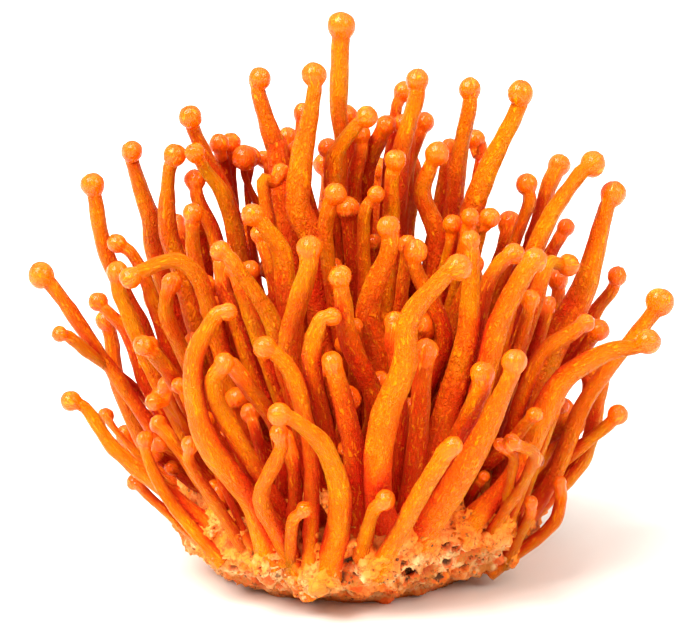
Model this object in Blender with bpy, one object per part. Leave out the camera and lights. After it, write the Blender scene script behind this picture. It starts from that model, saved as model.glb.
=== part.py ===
"""Cordyceps bunch: a dense ball of orange club-headed stalks on a knobbly cake of pale mycelium.

The bunch stands on the flat cut under its mycelium base, with the origin at the middle of that cut.
Every length below is a real size in millimetres, and the model is made in metres, +Z up.

The stalks are placed as one front view of the bunch shows them. A point of that view is written as
(across, down), counted in picture steps from the view's upper left corner, and PICTURE_STEP is the real
size of one step at the middle of the bunch. Its depth is how far it lies behind the middle, in
millimetres, with what lies nearer to the viewer below zero. The back of the bunch follows a seeded rule.
"""
import math
import random

import bmesh
import bpy
import numpy as np
from mathutils import Matrix
from mathutils import Vector
from mathutils import noise
from mathutils.bvhtree import BVHTree
from mathutils.kdtree import KDTree

MM = 0.001

# The front view: how large one step is, and where the viewer stands
PICTURE_STEP = 0.16
PICTURE_MIDDLE = (350, 320)
VIEW_DISTANCE = 600.0
VIEW_TILT = math.radians(13.0)
AIM_HEIGHT = 41.0

# The mycelium base, as radius and height from the cut underside over the rim to the top of the dome
BASE_PROFILE = (
    (19.5, 0.0), (23.5, 1.2), (26.6, 3.0), (29.0, 5.6), (30.6, 8.6), (30.4, 11.2),
    (28.2, 13.6), (24.0, 15.6), (18.0, 17.2), (10.5, 18.2), (0.0, 18.6),
)
BASE_HEART_HEIGHT = 9.0
BASE_SEGMENTS = 30
BASE_LOBE = 0.045
BASE_LUMP_DEPTH = 3.0
BASE_LUMP_SIZE = 4.4
FOOT_COLLAR = 2.6

# Clear space between one piece and the next
GAP = 0.3
SEAT_GAP = 0.3
SEAT_TOUCH = 0.12
SEAT_SLIDE = 2.6

# How the stalks grow
ROOT_FOCUS_DEPTH = 34.0
FUSED_FEET = 0.55
CURVE_TOLERANCE = 0.95
HIDDEN_CURVE_TOLERANCE = 1.3
LONGEST_STRETCH = 26.0
FINE_HEAD = 3.8
SMALL_HEAD = 3.3
FOOT_FLARE = 1.12
FUSED_LENGTH = 8.0
PUSH_REACH = 6.2
GROWTH_ROUNDS = 260
SAMPLE_SPACING = 1.15
TOUCH_MARGIN = 0.13
THINNER = 0.93
THINNEST = 0.45
CURVE_STEPS = 12
HEAD_LATITUDES = (50.0, 6.0, -42.0)
SMALL_HEAD_LATITUDES = (44.0, -12.0)
RING_START = (0.37, 0.91, 0.18)

# Surfaces
PALE_ORANGE = (0.95, 0.36, 0.03)
DEEP_ORANGE = (0.85, 0.22, 0.03)
STALK_ROUGHNESS = 0.42
MYCELIUM_CREAM = (0.78, 0.60, 0.38)
MYCELIUM_ROUGHNESS = 0.75
STALK_SHARP_ANGLE = math.radians(50.0)
BASE_SHARP_ANGLE = math.radians(40.0)

# How crowding stalks give way: the slack beyond the gap, how freely the seen and the hidden
# stretches slide across the view, and the shares of each push, evening and lift in one round
PUSH_SLACK = 0.12
SEEN_FREEDOM = 0.12
HIDDEN_FREEDOM = 0.8
DEEPEST_STEP = 1.2
PUSH_SHARE = 0.55
LEAST_WEIGHT = 0.35
KEPT_DRIFT = 0.82
EVENED_DRIFT = 0.18
HELD_IN_VIEW = 0.93
AT_FOOT_SHARE = 0.35
FOOT_LIFT = 0.6
LIFT_SHARE = 0.4
FLOOR_ROOM = 1.0
LEADER_SLIP = 0.35
THINNING_ROUNDS = 14
THINNING_SLACK = 0.05
THINNING_SHARE = 0.55
RING_THINNING_SHARE = 0.6
SLIMMEST = 0.55

# The small knobs and open pits of the base
KNOB_SEED = 3
KNOBS = 8
PITS = 6
KNOB_SIZES = (0.9, 1.5)
LOWEST_KNOB = -11.0
HIGHEST_KNOB = 6.0
KNOB_TRIES = 900
KNOB_SPACING = 4.6
KNOB_ROOM = 0.45
KNOB_SEARCH = 7.0
KNOB_DEPTH = 0.4
KNOB_STRETCH = (1.0, 1.0, 0.9)
PIT_SHARE = 0.95
PIT_STRETCH = (1.0, 1.0, 0.8)

# What joining and cutting may leave of a piece, and how far it is moved for a second try
LEAST_LEFT = 0.6
MOST_GAINED = 1.0001
HAIR = (0.013, 0.007, 0.011)

# The back of the bunch
BACK_SEED = 7
BACK_HEAD = 3.8
BACK_STEM = 3.2


def picture_ray(across, down):
    """Where the viewer stands, and the direction in which they see a point of the front view."""
    forward = np.array((0.0, math.cos(VIEW_TILT), -math.sin(VIEW_TILT)))
    upward = np.array((0.0, math.sin(VIEW_TILT), math.cos(VIEW_TILT)))
    sideways = np.array((1.0, 0.0, 0.0))
    eye = np.array((0.0, 0.0, AIM_HEIGHT)) - VIEW_DISTANCE * forward
    step = PICTURE_STEP / VIEW_DISTANCE
    ray = forward + (across - PICTURE_MIDDLE[0]) * step * sideways
    ray = ray + (PICTURE_MIDDLE[1] - down) * step * upward
    return eye, ray


def picture_point(across, down, depth):
    """The real place of a point of the front view that lies at a known depth."""
    eye, ray = picture_ray(across, down)
    return eye + ray * (depth - eye[1]) / ray[1]


def base_reach(directions):
    """How far the smooth form of the base reaches from its heart in each direction."""
    radius, height = np.array(BASE_PROFILE).T
    profile_angle = np.arctan2(height - BASE_HEART_HEIGHT, radius)
    profile_reach = np.hypot(radius, height - BASE_HEART_HEIGHT)
    flat = np.hypot(directions[:, 0], directions[:, 1])
    climb = np.arctan2(directions[:, 2], flat)
    turn = np.arctan2(directions[:, 1], directions[:, 0])
    lobes = 0.5 * np.sin(3.0 * turn + 0.7) + 0.3 * np.sin(5.0 * turn + 2.1) + 0.2 * np.sin(8.0 * turn)
    rim = np.cos(np.clip(climb, -math.pi / 2, math.pi / 2)) ** 2
    return np.interp(climb, profile_angle, profile_reach) * (1.0 + BASE_LOBE * lobes * rim)


def over_base(points):
    """Height of each point over the smooth form of the base, and the way out from its heart."""
    arms = points - np.array((0.0, 0.0, BASE_HEART_HEIGHT))
    lengths = np.linalg.norm(arms, axis=1)
    outward = arms / np.maximum(lengths, 1e-6)[:, None]
    return lengths - base_reach(outward), outward


def seat(point, clearance):
    """The point moved straight out from the heart of the base until it stands clear of its surface."""
    height, outward = over_base(point[None, :])
    return point + outward[0] * (clearance - height[0])


def seat_along(point, direction, clearance):
    """The point slid along a direction until it stands clear of the base, if it slides that far."""
    low = -SEAT_SLIDE
    high = SEAT_SLIDE
    for _ in range(24):
        middle = 0.5 * (low + high)
        if over_base((point + direction * middle)[None, :])[0][0] < clearance:
            low = middle
        else:
            high = middle
    return point + direction * high


def seen_on_base(across, down):
    """Where the viewer's line through a point of the front view meets the base."""
    eye, ray = picture_ray(across, down)
    steps = np.arange(VIEW_DISTANCE - 60.0, VIEW_DISTANCE, 0.2)
    heights = over_base(eye + steps[:, None] * ray)[0]
    inside = np.nonzero(heights < SEAT_GAP)[0]
    first = inside[0] if len(inside) else np.argmin(heights)
    return eye + steps[first] * ray


def smooth_curve(points, steps):
    """A curve through the points, with each stretch cut into equal steps."""
    ends = np.vstack([2 * points[0] - points[1], points, 2 * points[-1] - points[-2]])
    curve = []
    for index in range(len(points) - 1):
        before, start, stop, after = ends[index:index + 4]
        for step in range(steps):
            t = step / steps
            pull = (stop - before) * t
            bend = (2 * before - 5 * start + 4 * stop - after) * t * t
            twist = (3 * start - before - 3 * stop + after) * t * t * t
            curve.append(start + 0.5 * (pull + bend + twist))
    curve.append(points[-1])
    return np.array(curve)


class Stalk:
    """One fruiting body: a round head on a stem that is followed down to its foot.

    stem holds (across, down, thickness) for each bend below the head. bow is how much further
    the middle of the stem comes towards the viewer than a plain lean would bring it.
    """

    def __init__(self, tip, head, depth, stem, foot=None, bow=0.0):
        self.seen = True
        self.head = head / 2
        self.tip = tip
        self.depth = depth
        self.stem = stem
        self.bow = bow
        self.girth = np.array([bend[2] / 2 for bend in stem])
        lowest = picture_point(stem[-1][0], stem[-1][1], 0.8 * depth)
        if foot:
            self.foot = seen_on_base(*foot)
        else:
            self.foot = root_below(lowest)

    def route(self):
        """The bends as real places, from the head to the foot."""
        bends = [self.tip]
        bends.extend((bend[0], bend[1]) for bend in self.stem)
        flat = np.array([picture_point(bend[0], bend[1], 0.0) for bend in bends] + [self.foot])
        flat[-1][1] = 0.0
        runs = np.linalg.norm(np.diff(flat, axis=0), axis=1)
        rise = 1.0 - np.concatenate([[0.0], np.cumsum(runs)]) / runs.sum()
        places = []
        for bend, share in zip(bends, rise):
            lean = 1.0 - (1.0 - share) ** 1.35
            depth = self.foot[1] + (self.depth - self.foot[1]) * lean
            depth = depth + self.bow * 4.0 * share * (1.0 - share)
            places.append(picture_point(bend[0], bend[1], depth))
        places.append(self.foot)
        return np.array(places)


class HiddenStalk:
    """A stalk at the back of the bunch, which rises from its foot and turns up to its tip."""

    def __init__(self, tip, head, thickness, foot, sway):
        self.seen = False
        self.head = head / 2
        self.tip = tip
        self.foot = foot
        self.sway = sway
        self.girth = np.array((0.78, 0.92, 1.0, 1.06)) * thickness / 2

    def route(self):
        """The bends as real places, from the head to the foot."""
        outward = over_base(self.foot[None, :])[1][0]
        reach = np.linalg.norm(self.tip - self.foot)
        low = self.foot + outward * reach * 0.22
        high = self.tip - np.array((0.0, 0.0, 1.0)) * reach * 0.26 - (self.tip - self.foot) * 0.12
        neck = self.tip + (high - self.tip) * (self.head * 1.35 / np.linalg.norm(high - self.tip))
        return np.array([self.tip, neck, high + self.sway, low - 0.6 * self.sway, self.foot])


def root_below(point):
    """The foot of a stalk whose lower stem points back to a focus under the base."""
    focus = np.array((0.0, 0.0, -ROOT_FOCUS_DEPTH))
    steps = np.linspace(0.0, 1.0, 400)[:, None]
    line = point + (focus - point) * steps
    heights = over_base(line)[0]
    return seat(line[np.argmax(heights < SEAT_GAP)], SEAT_GAP)


# The stalks that the front view shows, as tufts that share a foot
FRONT_TUFTS = {
    "crown_spire": [
        Stalk((341, 26), 4.5, 2, ((341, 41, 2.6), (340, 80, 2.9), (340, 106, 3.0), (344, 140, 3.2))),
    ],
    "crown_left": [
        Stalk((314, 75), 4.0, -6, ((314, 90, 2.1), (306, 120, 2.7), (300, 155, 3.2), (297, 203, 4.0),
                                   (308, 238, 3.4))),
        Stalk((281, 172), 3.0, -4, ((272, 182, 2.0), (261, 205, 1.9))),
    ],
    "crown_back_left": [
        Stalk((260, 79), 3.8, 5, ((259, 94, 2.1), (267, 120, 2.7), (276, 147, 3.2), (280, 168, 3.2))),
        Stalk((265, 159), 3.0, 16, ((267, 175, 2.0),)),
        Stalk((288, 138), 3.5, 15, ((289, 155, 2.1),)),
    ],
    "crown_back": [
        Stalk((303, 113), 3.3, 10, ((303, 130, 2.1), (305, 160, 2.5))),
        Stalk((328, 148), 3.3, 12, ((328, 165, 2.3),)),
    ],
    "crown_hook": [
        Stalk((386, 125), 3.3, 4, ((378, 140, 2.5), (369, 162, 2.9), (362, 190, 2.9))),
        Stalk((367, 117), 3.5, -5, ((354, 126, 1.9), (341, 142, 2.4), (333, 163, 2.6), (329, 186, 2.4))),
        Stalk((360, 134), 3.5, 3, ((361, 150, 2.1), (358, 172, 2.3), (353, 192, 2.4))),
        Stalk((396, 130), 2.4, 14, ((394, 145, 1.8),)),
    ],
    "crown_right": [
        Stalk((417, 80), 3.8, 2, ((416, 95, 2.3), (412, 125, 2.4), (403, 155, 2.9), (398, 172, 3.0))),
        Stalk((404, 92), 3.6, 12, ((397, 105, 1.9), (391, 122, 2.1))),
        Stalk((425, 122), 3.3, 14, ((420, 136, 1.9), (414, 165, 2.2))),
        Stalk((450, 148), 3.3, 10, ((449, 165, 2.1),)),
    ],
    "crown_inner": [
        Stalk((395, 160), 3.4, -6, ((392, 178, 2.1), (391, 207, 2.5))),
        Stalk((376, 194), 2.9, -8, ((367, 205, 1.6), (362, 225, 1.8), (364, 248, 2.0))),
        Stalk((335, 194), 3.5, -12, ((327, 206, 2.0), (320, 236, 2.1))),
    ],
    "back_right_tall": [
        Stalk((470, 89), 3.7, 6, ((470, 104, 2.2), (463, 131, 2.3), (458, 162, 2.7), (455, 200, 2.7))),
        Stalk((475, 140), 3.3, 18, ((478, 156, 1.8), (481, 172, 2.0))),
        Stalk((487, 165), 2.9, 10, ((480, 176, 1.7), (474, 190, 1.8))),
    ],
    "right_bent": [
        Stalk((521, 93), 4.0, -2, ((518, 108, 2.2), (512, 130, 2.6), (503, 150, 2.9), (490, 176, 3.5),
                                   (473, 207, 3.3))),
    ],
    "right_bundle": [
        Stalk((437, 154), 4.0, -4, ((430, 167, 2.1), (422, 193, 2.7), (431, 222, 2.9), (433, 255, 2.6))),
        Stalk((470, 217), 3.0, -10, ((467, 232, 1.9),)),
        Stalk((452, 224), 3.0, -8, ((452, 242, 1.8), (448, 262, 2.0))),
        Stalk((490, 218), 3.2, -6, ((483, 230, 1.7), (478, 244, 1.8))),
    ],
    "right_high_pair": [
        Stalk((527, 184), 3.6, 2, ((530, 200, 1.9), (528, 215, 2.1), (514, 243, 2.5))),
        Stalk((566, 227), 3.0, 8, ((560, 240, 1.9), (553, 256, 2.1))),
    ],
    "right_reaching_pair": [
        Stalk((593, 164), 4.2, 0, ((579, 175, 2.1), (562, 200, 2.6), (546, 228, 2.7), (538, 246, 2.8))),
        Stalk((559, 165), 3.7, 8, ((551, 180, 2.5), (541, 207, 2.1), (534, 226, 2.3))),
    ],
    "right_sweep": [
        Stalk((613, 194), 4.3, 2, ((606, 210, 2.4), (599, 238, 2.5), (592, 270, 3.2), (576, 307, 4.2),
                                   (562, 332, 4.5), (545, 368, 4.0))),
    ],
    "right_low_pair": [
        Stalk((617, 276), 3.4, 6, ((612, 290, 1.9), (600, 308, 2.1), (588, 326, 2.3))),
        Stalk((599, 330), 3.5, 0, ((590, 345, 2.2), (578, 362, 2.4))),
    ],
    "right_long_pair": [
        Stalk((660, 302), 4.5, -2, ((651, 315, 2.3), (639, 338, 2.3), (618, 361, 2.4), (603, 376, 2.6),
                                    (581, 407, 2.4), (566, 445, 2.5), (548, 480, 2.5)), foot=(522, 512)),
        Stalk((604, 371), 2.5, 3, ((599, 400, 2.4), (594, 430, 2.3), (584, 460, 2.4), (567, 482, 2.3),
                                   (546, 505, 2.1)), foot=(536, 520)),
    ],
    "right_thick": [
        Stalk((648, 342), 4.0, -14, ((635, 347, 2.2), (605, 353, 2.6), (580, 370, 2.9), (556, 390, 3.5),
                                     (541, 420, 3.9), (524, 462, 3.5), (500, 500, 3.0)), foot=(468, 534)),
    ],
    "right_leaning": [
        Stalk((556, 400), 2.8, -16, ((550, 416, 2.2), (532, 462, 2.5), (510, 505, 2.5)), foot=(503, 523)),
    ],
    "right_wrinkled": [
        Stalk((585, 323), 3.1, -12, ((573, 327, 2.3), (547, 340, 2.1), (526, 360, 2.2))),
        Stalk((530, 300), 3.2, -12, ((525, 314, 2.0),)),
        Stalk((568, 265), 3.7, -4, ((556, 263, 1.9), (547, 266, 2.1), (540, 282, 2.6))),
        Stalk((548, 304), 2.7, -4, ((543, 318, 1.9),)),
    ],
    "right_front_curve": [
        Stalk((535, 260), 4.0, -21, ((523, 273, 2.8), (506, 301, 3.1), (495, 328, 3.2), (485, 358, 3.0))),
        Stalk((514, 254), 3.4, -15, ((500, 262, 2.1), (485, 286, 2.2), (480, 302, 2.3))),
    ],
    "right_standing": [
        Stalk((470, 240), 3.0, -23, ((472, 262, 2.1), (471, 285, 2.7), (466, 316, 3.3), (465, 348, 3.5),
                                     (453, 382, 3.8), (434, 436, 4.0), (428, 458, 3.9))),
    ],
    "front_right_arch": [
        Stalk((459, 267), 4.1, -36, ((446, 275, 2.3), (423, 295, 3.0), (408, 323, 3.1), (406, 356, 3.2),
                                     (397, 388, 3.7), (384, 419, 4.2), (376, 470, 4.0), (376, 512, 3.8)),
              foot=(380, 536), bow=-5.0),
    ],
    "middle_pair": [
        Stalk((389, 227), 3.6, -22, ((390, 245, 2.5), (382, 273, 2.9), (366, 310, 3.4), (371, 352, 3.2))),
        Stalk((415, 251), 4.0, -20, ((416, 266, 2.2), (435, 293, 2.5), (445, 325, 2.7), (446, 348, 2.7))),
    ],
    "front_standing_pair": [
        Stalk((427, 350), 3.6, -33, ((424, 370, 2.7), (418, 410, 2.8), (416, 470, 3.0), (412, 494, 3.0)),
              foot=(404, 533)),
        Stalk((395, 323), 3.3, -26, ((390, 337, 2.3), (393, 372, 2.0), (394, 395, 2.1))),
    ],
    "front_right_short": [
        Stalk((482, 374), 3.8, -37, ((480, 391, 2.6), (470, 416, 2.8), (456, 442, 2.6), (446, 465, 2.6)),
              foot=(428, 528)),
    ],
    "front_right_long": [
        Stalk((515, 361), 3.8, -41, ((510, 378, 2.3), (500, 407, 2.7), (479, 446, 3.6), (456, 482, 4.2),
                                     (432, 520, 4.4)), foot=(414, 561)),
    ],
    "front_low_pair": [
        Stalk((454, 446), 2.9, -43, ((443, 456, 2.6), (430, 478, 2.8), (412, 502, 3.4), (393, 526, 3.7)),
              foot=(377, 558)),
        Stalk((385, 500), 3.2, -37, ((373, 508, 2.1), (367, 525, 2.5)), foot=(364, 548)),
    ],
    "right_rim_trio": [
        Stalk((533, 459), 3.2, -31, ((525, 472, 1.8), (512, 497, 1.9), (501, 523, 2.1)), foot=(480, 560)),
        Stalk((511, 443), 2.8, -35, ((513, 458, 1.6), (502, 481, 1.6), (482, 499, 1.8), (458, 518, 2.2)),
              foot=(442, 545)),
        Stalk((500, 444), 2.2, -33, ((503, 456, 1.5),)),
    ],
    "right_rim_loop": [
        Stalk((559, 483), 2.4, -13, ((561, 500, 1.9), (559, 515, 1.9), (548, 530, 2.0)), foot=(517, 554)),
        Stalk((531, 502), 2.4, -22, ((527, 514, 1.7),), foot=(505, 556)),
    ],
    "right_rim_reach": [
        Stalk((618, 415), 3.4, -6, ((608, 427, 2.0), (588, 443, 1.9), (566, 462, 1.9), (550, 480, 2.1)),
              foot=(532, 508)),
    ],
    "front_left_fork": [
        Stalk((279, 433), 3.0, -40, ((280, 448, 2.0), (268, 472, 2.0), (257, 500, 2.4), (266, 528, 2.9)),
              foot=(266, 562)),
        Stalk((287, 437), 2.2, -33, ((296, 452, 2.0), (306, 480, 2.1))),
        Stalk((304, 510), 2.6, -36, ((296, 521, 1.7), (293, 540, 1.9)), foot=(295, 561)),
    ],
    "front_slanting": [
        Stalk((279, 415), 3.6, -44, ((294, 420, 1.9), (310, 430, 2.4), (327, 451, 3.0), (339, 481, 3.0),
                                     (343, 515, 3.6)), foot=(339, 561)),
    ],
    "front_left_low": [
        Stalk((190, 445), 2.9, -30, ((191, 460, 2.2), (203, 485, 2.4), (225, 514, 2.2)), foot=(254, 559)),
    ],
    "front_crossed_trio": [
        Stalk((224, 363), 3.2, -37, ((214, 381, 2.4), (217, 408, 2.6), (233, 436, 2.6), (249, 465, 2.3),
                                     (260, 486, 2.3)), foot=(287, 538)),
        Stalk((232, 366), 2.5, -31, ((250, 384, 2.2), (271, 406, 2.2), (284, 428, 2.3))),
        Stalk((250, 413), 3.1, -23, ((252, 430, 1.7), (257, 455, 1.7), (264, 480, 2.0))),
    ],
    "front_left_tall": [
        Stalk((264, 347), 3.5, -35, ((277, 355, 2.0), (293, 376, 2.7), (300, 407, 2.6), (311, 452, 2.2),
                                     (315, 493, 2.4), (308, 522, 2.4)), foot=(312, 551)),
    ],
    "front_middle_pair": [
        Stalk((332, 362), 3.3, -35, ((336, 378, 2.8), (343, 412, 3.0), (352, 450, 3.1), (355, 490, 3.4),
                                     (353, 514, 3.2)), foot=(353, 545)),
        Stalk((332, 317), 3.0, -31, ((320, 319, 2.2), (310, 336, 2.7), (311, 370, 2.8), (318, 410, 2.6),
                                     (327, 452, 2.3))),
    ],
    "front_club": [
        Stalk((340, 277), 3.7, -32, ((342, 295, 2.4), (344, 322, 2.8), (355, 357, 3.1), (369, 388, 3.1),
                                     (374, 412, 2.9))),
    ],
    "left_standing": [
        Stalk((309, 248), 3.8, -27, ((308, 266, 2.6), (301, 293, 2.8), (290, 325, 3.1), (291, 362, 3.1))),
    ],
    "left_bent_pair": [
        Stalk((253, 215), 3.7, -17, ((264, 226, 2.2), (280, 247, 3.0), (282, 275, 3.2), (289, 307, 3.1))),
        Stalk((259, 234), 2.9, -8, ((264, 251, 1.7), (268, 264, 1.9))),
    ],
    "left_middle_trio": [
        Stalk((220, 251), 3.2, -21, ((232, 262, 2.0), (252, 286, 2.6), (264, 315, 2.6), (271, 333, 2.7))),
        Stalk((233, 270), 2.6, -15, ((238, 287, 1.9), (246, 315, 2.5), (252, 335, 2.5))),
        Stalk((221, 264), 2.3, -12, ((222, 290, 2.2), (227, 308, 2.3))),
    ],
    "front_left_arch": [
        Stalk((228, 312), 2.8, -34, ((217, 315, 2.2), (203, 333, 2.5), (194, 365, 2.8), (197, 408, 2.9),
                                     (210, 445, 3.4), (232, 473, 3.6), (256, 505, 3.3)), foot=(274, 552),
              bow=-3.0),
    ],
    "left_arch": [
        Stalk((130, 278), 3.4, -18, ((141, 271, 1.8), (160, 262, 2.1), (180, 261, 2.3), (196, 273, 2.4),
                                     (208, 302, 2.6), (214, 320, 2.7))),
        Stalk((172, 283), 3.4, -12, ((166, 297, 2.2), (165, 312, 2.3), (168, 328, 2.4))),
    ],
    "left_inner_trio": [
        Stalk((195, 180), 3.4, 4, ((198, 197, 1.8), (208, 220, 2.3), (216, 238, 2.4))),
        Stalk((193, 213), 3.2, -6, ((192, 229, 2.0), (194, 262, 2.2))),
        Stalk((178, 221), 2.2, 12, ((180, 235, 1.7),)),
    ],
    "left_low_pair": [
        Stalk((143, 346), 3.3, -20, ((155, 356, 2.2), (173, 378, 2.4), (188, 406, 2.4))),
        Stalk((154, 402), 2.7, -24, ((166, 402, 1.7), (178, 404, 1.9))),
    ],
    "left_high_pair": [
        Stalk((132, 151), 3.5, 8, ((133, 164, 2.0), (136, 177, 2.5), (146, 200, 3.0), (158, 245, 3.0),
                                   (163, 265, 3.0))),
        Stalk((175, 155), 3.6, 2, ((170, 171, 1.9), (165, 200, 2.3), (170, 230, 2.9), (177, 250, 2.9))),
    ],
    "left_crown_pair": [
        Stalk((190, 117), 3.8, 2, ((194, 132, 1.9), (207, 157, 2.3), (220, 187, 2.9), (235, 232, 2.6))),
        Stalk((195, 153), 3.2, -2, ((202, 164, 1.8), (222, 197, 2.3), (231, 222, 2.6))),
    ],
    "left_crown_trio": [
        Stalk((230, 143), 3.5, 12, ((232, 160, 2.1), (239, 205, 2.3))),
        Stalk((219, 144), 3.3, 8, ((222, 158, 1.9), (228, 172, 2.2))),
        Stalk((251, 157), 3.5, 12, ((252, 173, 1.7), (256, 192, 2.1))),
    ],
    "left_outer_high": [
        Stalk((93, 185), 4.0, 4, ((95, 200, 2.2), (99, 230, 2.1), (108, 257, 2.3), (115, 274, 2.4))),
    ],
    "left_trio": [
        Stalk((117, 272), 3.5, -4, ((118, 288, 2.1), (126, 305, 2.4), (137, 336, 2.7))),
        Stalk((117, 243), 3.1, 0, ((131, 252, 1.8), (144, 270, 1.9), (156, 300, 2.2))),
        Stalk((98, 302), 3.2, 4, ((107, 312, 1.7), (126, 331, 2.2), (142, 380, 2.3), (150, 396, 2.4))),
    ],
    "left_outer_pair": [
        Stalk((41, 275), 4.2, 0, ((52, 286, 2.1), (72, 309, 3.0), (90, 334, 3.4), (108, 362, 2.5),
                                  (135, 393, 2.3), (160, 424, 2.3), (176, 446, 2.6))),
        Stalk((60, 334), 2.7, -6, ((72, 339, 1.8), (90, 353, 2.1), (105, 380, 2.9), (127, 426, 2.9),
                                   (155, 460, 2.9), (180, 492, 2.9)), foot=(212, 536)),
    ],
    "left_low_outer": [
        Stalk((71, 401), 3.4, -9, ((84, 410, 1.8), (100, 428, 2.2), (116, 458, 2.3), (150, 487, 2.4),
                                   (180, 515, 2.4)), foot=(202, 543)),
        Stalk((106, 416), 2.6, -2, ((113, 429, 2.5), (131, 454, 3.1), (147, 472, 3.1)), foot=(186, 518)),
    ],
    "left_leaning_pair": [
        Stalk((158, 424), 2.8, -15, ((166, 440, 2.2), (186, 474, 2.4), (208, 510, 2.3)), foot=(224, 536)),
        Stalk((176, 388), 2.8, -20, ((186, 404, 2.4), (206, 446, 2.9), (228, 488, 2.9)), foot=(252, 530)),
    ],
    "left_rim_pair": [
        Stalk((145, 439), 2.6, -18, ((148, 454, 1.6), (161, 481, 1.9), (182, 510, 1.9)), foot=(220, 549)),
        Stalk((135, 482), 2.6, -9, ((143, 490, 1.6), (161, 506, 1.6)), foot=(180, 530)),
    ],
}

# Rows of the back, as (tips in the row, height, reach from the middle, reach of the feet)
BACK_ROWS = (
    (7, 20.0, 41.0, 29.5), (7, 34.0, 43.0, 26.5), (7, 46.0, 40.0, 22.5),
    (6, 57.0, 31.0, 17.5), (5, 65.0, 21.0, 12.0), (3, 68.0, 11.0, 6.0),
)
BACK_SPREAD = math.radians(150.0)
BACK_TURN_SCATTER = 0.22
BACK_REACH_RANGE = (0.9, 1.04)
BACK_HEIGHT_SCATTER = 5.0
BACK_FOOT_SCATTER = 0.08
BACK_FOOT_HEIGHT = 12.0
BACK_SWAY = 2.4
BACK_HEAD_RANGE = (0.82, 1.12)
BACK_STEM_RANGE = (0.8, 1.2)
OUTER_ROWS = 3
OUTER_TUFTS = 4
INNER_TUFTS = 3


def back_tufts():
    """The stalks of the back, row by row, shared out by direction among tufts."""
    chance = random.Random(BACK_SEED)
    tufts = {}
    for row, (count, height, reach, foot_reach) in enumerate(BACK_ROWS):
        outer = row < OUTER_ROWS
        tuft_count = OUTER_TUFTS if outer else INNER_TUFTS
        for index in range(count):
            share = (index + 0.5 + chance.uniform(-BACK_TURN_SCATTER, BACK_TURN_SCATTER)) / count
            turn = math.pi / 2 + (share - 0.5) * BACK_SPREAD
            out = reach * chance.uniform(*BACK_REACH_RANGE)
            lift = height + chance.uniform(-BACK_HEIGHT_SCATTER, BACK_HEIGHT_SCATTER)
            foot_turn = turn + chance.uniform(-BACK_FOOT_SCATTER, BACK_FOOT_SCATTER)
            tip = np.array((out * math.cos(turn), out * math.sin(turn), lift))
            foot_way = np.array((math.cos(foot_turn), math.sin(foot_turn)))
            foot = np.append(foot_reach * foot_way, BACK_FOOT_HEIGHT)
            sway = np.array([chance.uniform(-BACK_SWAY, BACK_SWAY) for _ in range(3)])
            head = BACK_HEAD * chance.uniform(*BACK_HEAD_RANGE)
            thickness = BACK_STEM * chance.uniform(*BACK_STEM_RANGE)
            tuft = min(int(share * tuft_count), tuft_count - 1)
            name = f"back_{'outer' if outer else 'inner'}_tuft_{tuft + 1}"
            tufts.setdefault(name, []).append(HiddenStalk(tip, head, thickness, seat(foot, SEAT_GAP), sway))
    return tufts


def needed_points(curve, start, stop, tolerance):
    """The points of a curve between two of its own that a polyline needs to stay within a tolerance."""
    chord = curve[stop] - curve[start]
    length = np.linalg.norm(chord)
    if stop - start < 4:
        return []
    arms = curve[start + 1:stop] - curve[start]
    share = np.clip(arms @ chord / length ** 2, 0.0, 1.0)
    away = np.linalg.norm(arms - share[:, None] * chord, axis=1)
    middle = start + 1 + int(np.argmax(away))
    if away.max() < tolerance:
        if length < LONGEST_STRETCH:
            return []
        middle = (start + stop) // 2
    before = needed_points(curve, start, middle, tolerance)
    return before + [middle] + needed_points(curve, middle, stop, tolerance)


def lay_rings(stalk):
    """Gives a stalk the centres and half thicknesses of its rings, from the head to the foot."""
    curve = smooth_curve(stalk.route(), CURVE_STEPS)
    runs = np.concatenate([[0.0], np.cumsum(np.linalg.norm(np.diff(curve, axis=0), axis=1))])
    bend_runs = runs[::CURVE_STEPS]
    tolerance = CURVE_TOLERANCE if stalk.seen else HIDDEN_CURVE_TOLERANCE
    last = len(curve) - 1
    kept = [0, CURVE_STEPS] + needed_points(curve, CURVE_STEPS, last, tolerance) + [last]
    places = runs[kept]
    girth = np.concatenate([stalk.girth[:1], stalk.girth])
    girth = np.append(girth, stalk.girth[-1] * FOOT_FLARE)[:len(bend_runs)]
    stalk.centres = np.column_stack([np.interp(places, runs, curve[:, axis]) for axis in range(3)])
    stalk.radii = np.interp(places, bend_runs, girth)
    stalk.sides = 5 if stalk.seen and stalk.head > SMALL_HEAD / 2 else 4
    stalk.fine_head = stalk.seen and stalk.head >= FINE_HEAD / 2


def sample_rings(stalks):
    """Points along every stalk, each between two of its rings, with their half thickness."""
    upper, lower, share, tuft, freedom, stem, fused = [], [], [], [], [], [], []
    first = 0
    for stalk in stalks:
        count = len(stalk.centres)
        upper.append(first)
        lower.append(first)
        share.append(0.0)
        stem.append(0.0)
        fused.append(False)
        tuft.append(stalk.tuft)
        freedom.append(SEEN_FREEDOM if stalk.seen else 1.0)
        hidden_from = count - 3 if stalk.seen else 0
        lengths = np.linalg.norm(np.diff(stalk.centres, axis=0), axis=1)
        for ring in range(count - 1):
            length = lengths[ring]
            cuts = max(1, math.ceil(length / SAMPLE_SPACING))
            for cut in range(cuts):
                upper.append(first + ring)
                lower.append(first + ring + 1)
                share.append((cut + 0.5) / cuts)
                stem.append(1.0)
                to_foot = lengths[ring:].sum() - length * (cut + 0.5) / cuts
                fused.append(to_foot < FUSED_LENGTH)
                tuft.append(stalk.tuft)
                freedom.append(HIDDEN_FREEDOM if ring >= hidden_from else SEEN_FREEDOM)
        first += count
    return [np.array(column) for column in (upper, lower, share, tuft, freedom, stem, fused)]


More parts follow.
